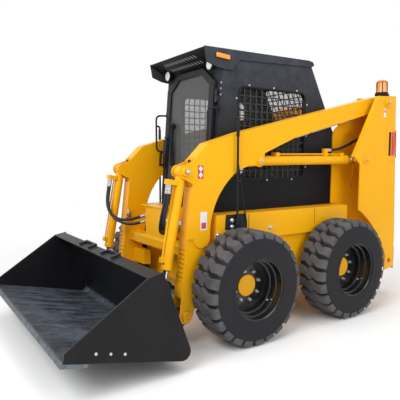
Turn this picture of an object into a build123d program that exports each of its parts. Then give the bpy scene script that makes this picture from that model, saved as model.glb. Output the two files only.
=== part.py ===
"""Skid steer loader: chassis, cab, engine bay, radial lift boom, bucket and four wheels.

Millimetres. The machine faces -Y, its left side is +X and +Z is up. The origin lies on the
ground under the middle of the overall length. Profiles of the side view are drawn as (Y, Z).
"""
import os
from math import cos, hypot, radians, sin, tan

from build123d import *

os.makedirs("parts", exist_ok=True)

# ---------------------------------------------------------------- driving dimensions
wheel_base = 985.0
axle_mid_y = 250.0  # middle of the two axles
tyre_r = 386.5
tyre_w = 264.0
running_gap = 0.05  # radial clearance of a pin in its eye
plate = 10.0  # structural plate of boom and towers
skin = 10.0  # chassis plate
joint_gap = 5.0  # clearance beside moving pieces

bumper_y = 1538.0  # rear faces of the towers
bumper_depth = 41.0
half_length = bumper_y + bumper_depth  # the bucket's lip reaches as far to the front

# chassis
tub_half = 380.0  # outer face of the tub's walls
arm_clear = 30.0  # between the towers' inner plates and the arms
arm_w = 100.0
tower_clear = 70.0  # between the arms and the towers' outer plates
tyre_clear = 15.0  # between the arms' legs and the tyres
case_clear = 35.0  # between the chain cases and the tyres
box_clear = 10.0  # between the boxes over the chain cases and the tyres' inner faces

arm_in_x = tub_half + plate + arm_clear
arm_mid_x = arm_in_x + arm_w / 2
arm_out_x = arm_in_x + arm_w
tower_out_x = arm_out_x + tower_clear + plate
tyre_in_x = arm_out_x + tyre_clear  # inner face of a tyre
tub_front_y = -400.0
tub_rear_y = 1440.0
belly_z = 205.0
deck_z = 862.0  # top of the wheel boxes, under the cab
bay_z = 1240.0  # top of the engine bay
bay_front_y = 950.0
front_plate_z = 640.0
case_out_x = tyre_in_x - case_clear  # chain case beside the tyres
box_out_x = tyre_in_x - box_clear  # box above the chain case
box_z = 670.0
box_front_y = -400.0
box_rear_y = 960.0

# boom linkage, side view
pivot = (1342.0, 1724.0)  # boom pivot in the towers
lift_foot = (1071.0, 1238.0)  # lift cylinder's pin in the towers
lift_head = (-20.0, 1230.0)  # lift cylinder's pin in the boom
tilt_head = (-648.0, 1159.0)  # tilt cylinder's pin in the boom
hinge = (-640.0, 202.0)  # bucket hinge
tilt_foot = (-782.0, 428.0)  # tilt cylinder's pin in the quick hitch

# pins
pivot_pin_r = 27.0
hinge_pin_r = 20.0
tilt_pin_r = 18.0
lift_pin_r = 20.0

# cab
cab_half = tub_half  # the cab's walls stand on the tub's
cab_wall = 30.0
cab_front_y = -320.0  # foot of the front face
cab_lean = 4.3  # degrees
door_foot_z = 908.0
eaves_z = 1962.0
roof_drop = 62.0  # from the eaves to the door's top
door_top_z = eaves_z - roof_drop
door_post = 55.0  # from the cab's outer face to the door
door_half = cab_half - door_post
door_t = 30.0

# rear door
rear_door_half = tub_half - 35
rear_door_low = 455.0
rear_door_top = 1215.0

# bucket
bucket_half = 848.0
bucket_plate = 10.0
bucket_tilt = 13.0  # slope of the floor, degrees

front_axle_y = axle_mid_y - wheel_base / 2
rear_axle_y = axle_mid_y + wheel_base / 2
tyre_mid_x = tyre_in_x + tyre_w / 2


def side_plane(x):
    """A plane whose sketch coordinates are the machine's (Y, Z), at X = x."""
    return Plane.YZ.offset(x)


def save(part, label):
    """Label a finished piece and write its STEP file."""
    part.label = label
    export_step(part, f"parts/{label}.step")


# ---------------------------------------------------------------- chassis
tub_inner = tub_half - skin
cab_foot_y = cab_front_y - 2.0

with BuildPart() as chassis:
    with BuildSketch(side_plane(-tub_half)):
        with BuildLine():
            Polyline(
                (tub_front_y, belly_z + 95), (tub_front_y, front_plate_z), (cab_foot_y, front_plate_z),
                (cab_foot_y, deck_z), (bay_front_y, deck_z), (bay_front_y, bay_z), (tub_rear_y, bay_z),
                (tub_rear_y, belly_z + 95), (tub_rear_y - 80, belly_z), (tub_front_y + 70, belly_z), close=True,
            )
        make_face()
    extrude(amount=2 * tub_half)
    with BuildSketch(side_plane(-tub_inner)):
        with BuildLine():
            Polyline(
                (tub_front_y + skin, belly_z + 98), (tub_front_y + skin, front_plate_z - skin),
                (cab_foot_y + skin, front_plate_z - skin), (cab_foot_y + skin, bay_z + 50),
                (tub_rear_y - skin, bay_z + 50), (tub_rear_y - skin, belly_z + 98),
                (tub_rear_y - 76 - skin, belly_z + skin), (tub_front_y + 66 + skin, belly_z + skin), close=True,
            )
        make_face()
    extrude(amount=2 * tub_inner, mode=Mode.SUBTRACT)
    # firewall between the cab and the engine bay
    with BuildSketch(Plane.XZ.offset(-bay_front_y)):
        with Locations((0, (belly_z + bay_z) / 2)):
            Rectangle(2 * tub_half, bay_z - belly_z)
    extrude(amount=skin)
    # chain cases and the boxes on them
    for side in (-1, 1):
        with BuildSketch(side_plane(side * tub_half)):
            with BuildLine():
                Polyline(
                    (tub_front_y, 330), (tub_front_y, box_z), (1090, box_z), (1090, 330), (1000, 240),
                    (tub_front_y + 80, 240), close=True,
                )
            make_face()
        extrude(amount=side * (case_out_x - tub_half))
        with BuildSketch(side_plane(side * tub_half)):
            with Locations(((box_front_y + box_rear_y) / 2, (box_z + deck_z) / 2)):
                Rectangle(box_rear_y - box_front_y, deck_z - box_z)
        extrude(amount=side * (box_out_x - tub_half))
    # rails that carry the engine
    with BuildSketch(Plane.XY.offset(belly_z + skin)):
        with Locations((-150, 1195), (150, 1195)):
            Rectangle(60, 410)
    extrude(amount=300 - belly_z - skin)
    # opening for the rear door
    with BuildSketch(Plane.XZ.offset(-tub_rear_y)):
        with Locations((0, (rear_door_low + rear_door_top) / 2)):
            Rectangle(2 * rear_door_half - 50, rear_door_top - rear_door_low - 40)
    extrude(amount=2 * skin, both=True, mode=Mode.SUBTRACT)

save(chassis.part, "chassis")

with BuildPart() as engine_block:
    with BuildSketch(Plane.XY.offset(300)):
        with Locations((0, 1195)):
            Rectangle(440, 410)
    extrude(amount=600)
    fillet(engine_block.edges().filter_by(Axis.Z), radius=30)

save(engine_block.part, "engine_block")

# ---------------------------------------------------------------- axles and wheels
axle_r = 40.0
axle_end_x = tyre_in_x + 105
hub_in_x = tyre_in_x - 15
hub_face_x = tyre_in_x + 120
disc_x = hub_face_x - 5  # outer face of the wheel's disc
disc_in_x = disc_x - 14
hub_r = 75.0
rim_r = 228.5
bead_r = 206.0
rim_out_x = tyre_in_x + tyre_w
rim_in_x = tyre_in_x + 13

with BuildPart() as axle_tubes:
    for axle_y in (front_axle_y, rear_axle_y):
        for side in (-1, 1):
            with BuildSketch(side_plane(side * case_out_x)):
                with Locations((axle_y, tyre_r)):
                    Circle(axle_r)
            extrude(amount=side * (axle_end_x - case_out_x))
            with BuildSketch(side_plane(side * case_out_x)):
                with Locations((axle_y, tyre_r)):
                    Circle(hub_r)
            extrude(amount=side * 14)

save(axle_tubes.part, "axle_tubes")

# half section of the rim as (distance from the machine's middle plane, radius)
rim_section = (
    (hub_face_x, 0), (hub_face_x, hub_r), (disc_x, hub_r), (disc_x, 166), (rim_out_x - 102, 172),
    (rim_out_x - 99, 182), (rim_out_x - 57, 186), (rim_out_x - 54, 195), (rim_out_x - 11, 200),
    (rim_out_x, 216), (rim_out_x, rim_r), (rim_out_x - 12, rim_r), (rim_out_x - 14, bead_r), (rim_in_x + 14, bead_r),
    (rim_in_x + 12, rim_r), (rim_in_x, rim_r), (rim_in_x, 194), (rim_in_x + 52, 188), (disc_in_x - 4, 168),
    (disc_in_x, 158), (disc_in_x, hub_r), (hub_in_x, hub_r),
    (hub_in_x, axle_r + running_gap), (axle_end_x + 1, axle_r + running_gap), (axle_end_x + 1, 0),
)
# half section of the tyre's carcass, up to the groove floor
tread_r = tyre_r - 24  # floor of the grooves between the lugs
tyre_section = (
    (rim_in_x + 18, bead_r + 0.4), (rim_in_x + 18, rim_r + 4), (tyre_in_x, 280), (tyre_in_x + 6, 335),
    (tyre_in_x + 30, tread_r), (rim_out_x - 30, tread_r), (rim_out_x - 6, 335), (rim_out_x, 280),
    (rim_out_x - 18, rim_r + 4), (rim_out_x - 18, bead_r + 0.4),
)
lugs = 24  # on each half of the tread
lug_top = 0.44  # share of the pitch at the lug's top
lug_foot = 0.60
shoulder = 14.0  # from a sidewall to the lugs


def lug_ring(shift):
    """Corners of a ring of lugs round the axle, turned by a share of the pitch."""
    pitch = 360 / lugs
    foot_r = tread_r + 2  # the chords between the lugs stay outside the carcass
    ring = []
    for lug in range(lugs):
        middle = (lug + shift) * pitch
        for radius, share in ((foot_r, -lug_foot), (tyre_r, -lug_top), (tyre_r, lug_top), (foot_r, lug_foot)):
            turn = radians(middle + share * pitch / 2)
            ring.append((radius * cos(turn), radius * sin(turn)))
    return ring


corners = (
    ("front_left", 1, front_axle_y), ("front_right", -1, front_axle_y),
    ("rear_left", 1, rear_axle_y), ("rear_right", -1, rear_axle_y),
)
for corner, side, axle_y in corners:
    section_plane = Plane(origin=(0, axle_y, tyre_r), x_dir=(1, 0, 0), z_dir=(0, -1, 0))
    axle = Axis((0, axle_y, tyre_r), (1, 0, 0))
    with BuildPart() as rim:
        with BuildSketch(section_plane):
            with BuildLine():
                Polyline(*[(side * x, r) for x, r in rim_section], close=True)
            make_face()
        revolve(axis=axle)
    save(rim.part, f"rim_{corner}")
    with BuildPart() as tyre:
        with BuildSketch(section_plane):
            with BuildLine():
                Polyline(*[(side * x, r) for x, r in tyre_section], close=True)
            make_face()
        revolve(axis=axle)
        # lugs of the two halves of the tread, half a pitch apart
        for half_in_x, shift in ((tyre_in_x + shoulder, 0), (tyre_mid_x, 0.5)):
            half_spot = (side * half_in_x, axle_y, tyre_r)
            with BuildSketch(Plane(origin=half_spot, x_dir=(0, 1, 0), z_dir=(side, 0, 0))):
                with BuildLine():
                    Polyline(*lug_ring(shift), close=True)
                make_face()
                Circle(tread_r - 30, mode=Mode.SUBTRACT)
            extrude(amount=tyre_w / 2 - shoulder)
    save(tyre.part, f"tyre_{corner}")

# ---------------------------------------------------------------- towers
outer_plate_x = tower_out_x - plate
inner_plate_x = tub_half
rear_foot = (bumper_y, 274.0)
rear_waist = (1530.0, 606.0)
rear_top = (1471.0, 1786.0)
front_top = (1238.0, 1774.0)
nose_low = (936.0, 1263.0)
brace_y = 912.0  # front edge of the inner plates, beside the cab
brace_z = 1432.0
skirt_y = 1100.0  # front edge of the inner plates behind the wheels
cap_front_y = 1402.0
arch_front = (1012.0, 822.0)  # ends of the arch over the rear wheel
arch_rear = (1409.0, 391.0)
tie_down = (1470.0, 335.0)  # lashing hole in each outer plate
tie_down_r = 22.0

tower_bay_in = inner_plate_x + plate  # outer face of the inner plate
hose_block_y = 1262.0  # front face of the block that takes the lift hose
hose_block = (60.0, 40.0, 40.0)  # its width, length and height
slot_at = (1113.0, 1260.0)  # window of the inner plate, for the hoses
slot_w = 170.0
slot_h = 420.0


def ahead(corner):
    """A corner of the rear edge, moved forward by the rear plate's thickness."""
    return (corner[0] - plate, corner[1])


with BuildPart() as tower_inner:
    # plate on the tub's wall, beside the cab
    with BuildSketch(side_plane(inner_plate_x)):
        with BuildLine():
            Polyline(
                (brace_y + 100, brace_z + 100), (1130, 1560), (1228, 1774), ahead(rear_top),
                ahead(rear_waist), ahead(rear_foot),
                (skirt_y, rear_foot[1] - 14), (skirt_y, box_z + joint_gap),
                (box_rear_y + joint_gap, box_z + joint_gap), (box_rear_y + joint_gap, deck_z + joint_gap),
                (brace_y, deck_z + joint_gap), (brace_y, brace_z),
            )
            ThreePointArc((brace_y, brace_z), (brace_y + 31, brace_z + 70), (brace_y + 100, brace_z + 100))
        make_face()
        with Locations(slot_at):
            SlotOverall(slot_h, slot_w, rotation=90, mode=Mode.SUBTRACT)
    extrude(amount=plate)
    # block on the plate that takes the lift cylinder's hose
    with BuildSketch(side_plane(tower_bay_in)):
        with Locations((hose_block_y + hose_block[1] / 2, 1441)):
            Rectangle(hose_block[1], hose_block[2])
    extrude(amount=hose_block[0])
    mirror(about=Plane.YZ)

save(tower_inner.part, "tower_inner")

with BuildPart() as tower_outer:
    # outer plate, cut back round the rear wheel
    with BuildSketch(side_plane(outer_plate_x)):
        with BuildLine():
            Polyline(
                arch_rear, (1403, 255), ahead(rear_foot), ahead(rear_waist), ahead(rear_top), front_top,
                nose_low, (arch_front[0], 1200), arch_front,
            )
            ThreePointArc(arch_front, (1208, 672), arch_rear)
        make_face()
        with Locations(tie_down):
            Circle(tie_down_r, mode=Mode.SUBTRACT)
    extrude(amount=plate)
    # bent flange along the slanted front edge
    with BuildSketch(side_plane(tower_out_x - 38)):
        with BuildLine():
            Polyline(
                nose_low, front_top, (front_top[0] + 11, front_top[1]), (nose_low[0] + 11, nose_low[1] - 2),
                close=True,
            )
        make_face()
    extrude(amount=38)
    # pins of the boom and of the lift cylinder, and their bosses
    with BuildSketch(side_plane(tower_bay_in)):
        with Locations(pivot):
            Circle(pivot_pin_r)
    extrude(amount=tower_out_x - tower_bay_in + 14)
    with BuildSketch(side_plane(arm_mid_x + 30)):
        with Locations(lift_foot):
            Circle(lift_pin_r)
    extrude(amount=tower_out_x + 12 - arm_mid_x - 30)
    for boss_at, radius in ((pivot, 40), (lift_foot, 34)):
        with BuildSketch(side_plane(tower_out_x)):
            with Locations(boss_at):
                Circle(radius)
        extrude(amount=8)
    mirror(about=Plane.YZ)

save(tower_outer.part, "tower_outer")

with BuildPart() as tower_backs:
    # rear plates across the towers, bent at the waist
    with BuildSketch(side_plane(inner_plate_x)):
        with BuildLine():
            Polyline(
                rear_foot, rear_waist, rear_top, ahead(rear_top), ahead(rear_waist), ahead(rear_foot),
                close=True,
            )
        make_face()
    extrude(amount=tower_out_x - inner_plate_x)
    # caps between the plates
    with BuildSketch(Plane.XY.offset(rear_top[1] - plate)):
        with Locations(((tower_bay_in + outer_plate_x) / 2, (cap_front_y + rear_top[0]) / 2)):
            Rectangle(outer_plate_x - tower_bay_in, rear_top[0] - cap_front_y)
    extrude(amount=plate)
    mirror(about=Plane.YZ)

save(tower_backs.part, "tower_backs")

# ---------------------------------------------------------------- rear bumper
with BuildPart() as rear_bumper:
    with BuildSketch(Plane.XY.offset(255)):
        with BuildLine():
            Polyline(
                (-tub_half, tub_rear_y), (tub_half, tub_rear_y), (tub_half, bumper_y), (tower_out_x, bumper_y),
                (tower_out_x - 25, half_length), (-tower_out_x + 25, half_length), (-tower_out_x, bumper_y),
                (-tub_half, bumper_y), close=True,
            )
        make_face()
    extrude(amount=190)

save(rear_bumper.part, "rear_bumper")

# ---------------------------------------------------------------- boom
web_in_x = arm_in_x + plate
web_gap = arm_w - 2 * plate
knee = (-470.0, 1346.0)
lip = (-591.0, 1227.0)
tongue = (-520.0, 716.0)
leg_toe_r = 52.0
beam_front_y = -600.0
beam_top_z = 655.0


def leg_front_y(z):
    """Y of the leg's leaning front edge at a height."""
    low_y, low_z, high_y, high_z = hinge[0] - leg_toe_r, 215, -590, 1078
    return low_y + (z - low_z) * (high_y - low_y) / (high_z - low_z)


with BuildPart() as boom_arms:
    with BuildSketch(side_plane(arm_in_x)):
        with BuildLine():
            Polyline(
                (-201, 1170), (-110, 1196), (-55, 1196), (12, 1196), (30, 1285), (340, 1406), (1357, 1664),
                (1342, pivot[1] + 62), (-200, 1426), knee, lip, (-660, 1200), (-690, 1150), (-665, 1118),
                (-590, 1078), (hinge[0] - leg_toe_r, 215), (hinge[0] - 30, hinge[1] - 40),
                (hinge[0] + 40, hinge[1] - 30), (-505, 420), (-452, 700),
            )
            ThreePointArc((-452, 700), (-386, 985), (-201, 1170))
        make_face()
        with Locations(hinge):
            Circle(leg_toe_r)
        with Locations(tilt_head):
            Circle(46)
        with Locations(lift_head):
            Circle(44)
        with Locations(pivot):
            Circle(62)
    extrude(amount=arm_w)
    # hub of the boom pivot
    with BuildSketch(side_plane(inner_plate_x + plate + joint_gap)):
        with Locations(pivot):
            Circle(56)
    extrude(amount=outer_plate_x - inner_plate_x - plate - 2 * joint_gap)
    with BuildSketch(side_plane(inner_plate_x)):
        with Locations(pivot):
            Circle(pivot_pin_r + running_gap)
    extrude(amount=tower_out_x - inner_plate_x, mode=Mode.SUBTRACT)
    # fork over the quick hitch, and pockets for the cylinders' eyes
    with BuildSketch(side_plane(web_in_x)):
        with BuildLine():
            Polyline((-740, 100), (-740, 330), (-470, 330), (-470, 100), close=True)
        make_face()
        with BuildLine():
            Polyline(
                (-740, 1060), (-740, 1224), (-608, 1246), (-560, 1262), (-582, 1190), (-582, 1060), close=True,
            )
        make_face()
        with Locations(lift_head):
            Circle(62)
        with Locations((lift_head[0] + 55, lift_head[1] - 5)):
            Rectangle(130, 92)
    extrude(amount=web_gap, mode=Mode.SUBTRACT)
    # the leg below the rounded tongue is set back a little
    with BuildSketch(side_plane(arm_out_x - 8)):
        with Locations((-560, 408)):
            Rectangle(400, 2 * (tongue[1] - 408))
        with Locations(tongue):
            Circle(66, mode=Mode.SUBTRACT)
    extrude(amount=8, mode=Mode.SUBTRACT)
    # air slots across the front of the leg
    for slot_z in range(430, 670, 30):
        with BuildSketch(Plane.XY.offset(slot_z)):
            with Locations((arm_mid_x, leg_front_y(slot_z))):
                Rectangle(64, 16)
        extrude(amount=7, mode=Mode.SUBTRACT)
    # pins and their outer bosses
    for pin_at, radius, boss in (
        (hinge, hinge_pin_r, 36), (tilt_head, tilt_pin_r, 32), (lift_head, lift_pin_r, 32),
    ):
        with BuildSketch(side_plane(arm_in_x)):
            with Locations(pin_at):
                Circle(radius)
        extrude(amount=arm_w + 6)
        with BuildSketch(side_plane(arm_out_x - 8)):
            with Locations(pin_at):
                Circle(boss)
        extrude(amount=8 + (6 if pin_at == hinge else 16))
    mirror(about=Plane.YZ)

save(boom_arms.part, "boom_arms")

cover_half = 150.0  # cover of the hose couplings
cover_ports = (814.0, 768.0)
port_r = 15.0
port_len = 20.0


def port_plane(side, port_z):
    """A plane on the cover's side face whose normal is the direction of a hose's port."""
    return Plane(origin=(side * cover_half, beam_front_y + 32, port_z), z_dir=(side * 0.8, -0.5, -0.3))


with BuildPart() as cross_beam:
    with BuildSketch(side_plane(-arm_in_x)) as beam_section:
        with Locations((beam_front_y + 52, beam_top_z - 40)):
            Rectangle(104, 80)
        fillet(beam_section.vertices(), radius=14)
    extrude(amount=2 * arm_in_x)
    # cover of the hose couplings, with its folded shelf
    with BuildSketch(Plane.XY.offset(beam_top_z)):
        with Locations((0, beam_front_y + 50)):
            Rectangle(2 * cover_half, 80)
    extrude(amount=228)
    with BuildSketch(Plane.XY.offset(beam_top_z + 228)):
        with Locations((-22, beam_front_y + 46)):
            Rectangle(376, 92)
    extrude(amount=8)
    # ports of the hoses on the cover's sides
    for side in (-1, 1):
        for port_z in cover_ports:
            with BuildSketch(port_plane(side, port_z).offset(-8)):
                Circle(port_r)
            extrude(amount=8 + port_len)
    # bracket box on the right leg, under the beam
    with BuildSketch(Plane.XY.offset(398)):
        with Locations((-arm_in_x + 88, beam_front_y + 70)):
            Rectangle(176, 60)
    extrude(amount=112)

save(cross_beam.part, "cross_beam")


# ---------------------------------------------------------------- cylinders
def axis_plane(head, foot, x):
    """A plane at the cylinder's head pin whose normal points to its foot pin."""
    return Plane(origin=(x, head[0], head[1]), x_dir=(1, 0, 0), z_dir=(0, foot[0] - head[0], foot[1] - head[1]))


def make_barrel(label, head, foot, x, radii, pin_r, eye_r, reach, pipe):
    """Barrel of a cylinder: eye on the head pin, tube with its bore, gland ring and pipe.

    The radii are those of the tube, its bore and the rod. The pipe is (its side, where its near block
    and its hose block sit, how far each of them reaches out); it ends in a block beside the gland.
    """
    tube_r, bore_r, rod_r = radii
    pipe_side, pipe_near, pipe_far, near_out, far_out = pipe
    pipe_end = reach - 60
    along = axis_plane(head, foot, x)
    across = Plane(origin=(x, head[0], head[1]), x_dir=(0, 1, 0), z_dir=(1, 0, 0))
    neck = eye_r - 6
    with BuildPart() as barrel:
        with BuildSketch(along.offset(neck)):
            Circle(tube_r)
        extrude(amount=reach - neck)
        with BuildSketch(along.offset(reach - 26)):
            Circle(tube_r + 4)
        extrude(amount=26)
        with BuildSketch(across):
            Circle(eye_r)
        extrude(amount=eye_w / 2, both=True)
        # hydraulic pipe along the tube, with its port blocks
        with BuildSketch(along.offset(pipe_near)):
            with Locations((0, pipe_side * (tube_r + 12))):
                Circle(6)
        extrude(amount=pipe_end - pipe_near)
        for port, width, out in ((pipe_near, port_w, near_out), (pipe_far, 34, far_out), (pipe_end, 34, 24)):
            with BuildSketch(along.offset(port - port_t / 2)):
                with Locations((0, pipe_side * (tube_r + (out - 8) / 2))):
                    Rectangle(width, out + 8)
            extrude(amount=port_t)
        with BuildSketch(across):
            Circle(pin_r + running_gap)
        extrude(amount=eye_w / 2, both=True, mode=Mode.SUBTRACT)
        with BuildSketch(along.offset(eye_r + 20)):
            Circle(bore_r)
        extrude(amount=reach - 40 - eye_r - 20, mode=Mode.SUBTRACT)
        with BuildSketch(along.offset(reach - 41)):
            Circle(rod_r + running_gap)
        extrude(amount=41, mode=Mode.SUBTRACT)
    save(barrel.part, label)


def make_rod(label, head, foot, x, radii, eye_r, start):
    """Rod of a cylinder: piston in the barrel's bore and an eye round the foot pin."""
    _, bore_r, rod_r = radii
    along = axis_plane(head, foot, x)
    length = hypot(foot[0] - head[0], foot[1] - head[1])
    across = Plane(origin=(x, foot[0], foot[1]), x_dir=(0, 1, 0), z_dir=(1, 0, 0))
    with BuildPart() as rod:
        with BuildSketch(along.offset(start)):
            Circle(rod_r)
        extrude(amount=length - start)
        with BuildSketch(along.offset(start)):
            Circle(bore_r - running_gap)
        extrude(amount=30)
        with BuildSketch(across):
            Circle(eye_r)
        extrude(amount=rod_eye_w / 2, both=True)
        with BuildSketch(across):
            Circle(rod_r)
        extrude(amount=rod_eye_w / 2, both=True, mode=Mode.SUBTRACT)
    save(rod.part, label)


eye_w = 60.0  # width of a barrel's eye between the boom's plates
rod_eye_w = 46.0
port_w = 54.0  # near port block, wide enough for two hoses
port_t = 32.0
lift_reach = 1008.0
lift_rod_start = 257.0
tilt_reach = 640.0
tilt_rod_start = 113.0
lift_pipe = (-1, 200.0, 745.0, 24.0, 56.0)  # above the barrel
tilt_pipe = (1, 78.0, tilt_reach - 60, 66.0, 24.0)  # in front of the barrel

lift_radii = (36.0, 26.0, 20.0)  # of the tube, its bore and the rod
tilt_radii = (33.0, 25.0, 17.5)

for hand, side in (("left", 1), ("right", -1)):
    x = side * arm_mid_x
    lift = (f"lift_barrel_{hand}", lift_head, lift_foot, x, lift_radii)
    make_barrel(*lift, lift_pin_r, 38, lift_reach, lift_pipe)
    make_rod(f"lift_rod_{hand}", lift_head, lift_foot, x, lift_radii, 34, lift_rod_start)
    tilt = (f"tilt_barrel_{hand}", tilt_head, tilt_foot, x, tilt_radii)
    make_barrel(*tilt, tilt_pin_r, 38, tilt_reach, tilt_pipe)
    make_rod(f"tilt_rod_{hand}", tilt_head, tilt_foot, x, tilt_radii, 32, tilt_rod_start)

# ---------------------------------------------------------------- bucket
heel = (-798.0, 70.0)  # where floor and back would meet
floor_len = 782.0
back_len = 583.0
back_lean = 20.3  # the back leans forward from the vertical, degrees
floor_dir = (-cos(radians(bucket_tilt)), sin(radians(bucket_tilt)))
back_dir = (-sin(radians(back_lean)), cos(radians(back_lean)))
lip_end = (heel[0] + floor_len * floor_dir[0], heel[1] + floor_len * floor_dir[1])
back_top = (heel[0] + back_len * back_dir[0], heel[1] + back_len * back_dir[1])
top_edge = (back_top[0] - 87, back_top[1] - 20)
heel_r = 46.0
hook_mid_x = 205.0
hook_len = 200.0
# local x to the right, local y down the flange from its rear edge, and the normal out of the bucket
flange_plane = Plane(
    origin=(0, back_top[0], back_top[1]), x_dir=(-1, 0, 0),
    z_dir=(0, top_edge[1] - back_top[1], back_top[0] - top_edge[0]),
)

with BuildPart() as bucket_shell:
    with BuildSketch(side_plane(-bucket_half + bucket_plate)):
        with BuildLine():
            FilletPolyline(lip_end, heel, back_top, top_edge, radius=(heel_r, 18))
        trace(line_width=bucket_plate)
    extrude(amount=2 * (bucket_half - bucket_plate))
    # side plates
    with BuildSketch(side_plane(-bucket_half)) as cheek:
        with BuildLine():
            Polyline(
                heel, lip_end, (lip_end[0] + 8, lip_end[1] + 44), (top_edge[0], top_edge[1] + 2), back_top,
                close=True,
            )
        make_face()
        fillet(cheek.vertices().sort_by(Axis.Y)[0], radius=heel_r)
        offset(amount=bucket_plate / 2, kind=Kind.INTERSECTION)
    extrude(amount=bucket_plate)
    # brackets on the top flange: a bar along its rear edge with a hook at each end
    for hook_x in (-hook_mid_x, hook_mid_x):
        with BuildSketch(flange_plane.offset(bucket_plate / 2)):
            with Locations((hook_x, 10)):
                Rectangle(hook_len, 16)
            with Locations((hook_x - hook_len / 2 + 14, 42), (hook_x + hook_len / 2 - 14, 42)):
                Rectangle(28, 52)
        extrude(amount=14)
    mirror(about=Plane.YZ)

save(bucket_shell.part, "bucket_shell")

edge_t = 20.0  # cutting edge under the front of the floor
edge_len = 130.0

with BuildPart() as cutting_edge:
    with BuildSketch(side_plane(-bucket_half)):
        with BuildLine():
            Polyline(
                (lip_end[0] - 5 * floor_dir[1], lip_end[1] + 5 * floor_dir[0]),
                (lip_end[0] - edge_len * floor_dir[0] - 5 * floor_dir[1],
                 lip_end[1] - edge_len * floor_dir[1] + 5 * floor_dir[0]),
                (lip_end[0] - edge_len * floor_dir[0] - (edge_t + 5) * floor_dir[1],
                 lip_end[1] - edge_len * floor_dir[1] + (edge_t + 5) * floor_dir[0]),
                (-half_length, lip_end[1] - 25),
                close=True,
            )
        make_face()
    extrude(amount=2 * bucket_half)

save(cutting_edge.part, "cutting_edge")

# ---------------------------------------------------------------- quick hitch behind the bucket
# local x runs to the right, local y up along the bucket's back, and the normal towards the boom
hitch_plane = Plane(
    origin=(0, heel[0], heel[1]), x_dir=(-1, 0, 0), z_dir=(0, cos(radians(back_lean)), sin(radians(back_lean)))
)
hitch_out = bucket_plate / 2  # the bucket's outer face from the middle of its plate
hitch_half = 560.0
hitch_low = 60.0
hitch_high = 440.0
hitch_t = 30.0
lug_t = 12.0
hinge_lug_w = web_gap - 12

with BuildPart() as quick_hitch:
    with BuildSketch(hitch_plane.offset(hitch_out)):
        with Locations((0, (hitch_low + hitch_high) / 2)):
            Rectangle(2 * hitch_half, hitch_high - hitch_low)
            RectangleRounded(2 * hitch_half - 420, hitch_high - hitch_low - 150, 20, mode=Mode.SUBTRACT)
    extrude(amount=hitch_t)
    for side in (-1, 1):
        # lug on the bucket hinge, inside the boom's fork
        with BuildSketch(side_plane(side * arm_mid_x - hinge_lug_w / 2)):
            with BuildLine():
                Polyline(
                    (hinge[0] + 20, hinge[1] - 42), (hinge[0] - 10, hinge[1] + 46), (-826, 236), (-776, 70),
                    close=True,
                )
            make_face()
            with Locations(hinge):
                Circle(44)
        extrude(amount=hinge_lug_w)
        with BuildSketch(side_plane(side * arm_mid_x - hinge_lug_w / 2)):
            with Locations(hinge):
                Circle(hinge_pin_r + running_gap)
        extrude(amount=hinge_lug_w, mode=Mode.SUBTRACT)
        # pair of lugs on the tilt cylinder's rod
        for ear in (-1, 1):
            ear_x = side * arm_mid_x + ear * (rod_eye_w / 2 + joint_gap) - (lug_t if ear < 0 else 0)
            with BuildSketch(side_plane(ear_x)):
                with BuildLine():
                    Polyline(
                        (tilt_foot[0] + 12, tilt_foot[1] + 34), (tilt_foot[0] + 30, tilt_foot[1] - 20),
                        (-826, 236), (-916, 480), close=True,
                    )
                make_face()
                with Locations(tilt_foot):
                    Circle(36)
            extrude(amount=lug_t)
            with BuildSketch(side_plane(ear_x if ear > 0 else ear_x - 4)):
                with Locations(tilt_foot):
                    Circle(24)
            extrude(amount=lug_t + 4)

save(quick_hitch.part, "quick_hitch")

# ---------------------------------------------------------------- cab
lean_c = cos(radians(cab_lean))
lean_s = sin(radians(cab_lean))
# local x to the left, local y up along the leaning face, normal to the front
face_plane = Plane(origin=(0, cab_front_y, deck_z), x_dir=(1, 0, 0), z_dir=(0, -lean_c, lean_s))
cab_in = cab_half - cab_wall
roof_rear = (640.0, eaves_z + 20)
waist = (923.0, 1467.0)
side_window = (236.0, 1430.0)  # middle, in the side view
window_w = 674.0
window_h = 656.0
rear_half = cab_in - 110  # half width of the rear window
rear_low = waist[1] + 68
rear_high = roof_rear[1] - 117
rear_corner_r = 40.0
cab_rear_y = bay_front_y - skin - 2
slit_depth = 8.0


def face_y(z):
    """Y of the cab's leaning front face at a height."""
    return cab_front_y + (z - deck_z) * lean_s / lean_c


def up(z):
    """Distance up the leaning face that reaches a height."""
    return (z - deck_z) / lean_c


door_pin_x = door_half + 15
door_pin_out = 20.0  # hinge line in front of the face
door_pin_r = 5.0
knuckle_r = 11.0
hinge_len = 45.0
door_hinges = (door_foot_z + 102, door_top_z - 260)


def hinge_plane(z):
    """A plane across the door's hinge line at a height."""
    spot = face_plane.from_local_coords((door_pin_x, up(z), door_pin_out))
    return Plane(origin=spot, x_dir=(1, 0, 0), z_dir=(0, lean_s, lean_c))


with BuildPart() as cab_sides:
    with BuildSketch(side_plane(cab_in)):
        with BuildLine():
            Polyline(
                (face_y(deck_z), deck_z), (face_y(eaves_z), eaves_z), roof_rear, waist, (cab_rear_y, 1300),
                (cab_rear_y, deck_z), close=True,
            )
        make_face()
        with Locations(side_window):
            RectangleRounded(window_w, window_h, 45, mode=Mode.SUBTRACT)
    extrude(amount=cab_wall)
    # upright air slits low at the rear of the walls
    with BuildSketch(side_plane(cab_half - slit_depth)):
        with Locations((855, 1015)):
            with GridLocations(22, 46, 4, 3):
                Rectangle(6, 34)
    extrude(amount=slit_depth, mode=Mode.SUBTRACT)
    mirror(about=Plane.YZ)

save(cab_sides.part, "cab_sides")

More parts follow.
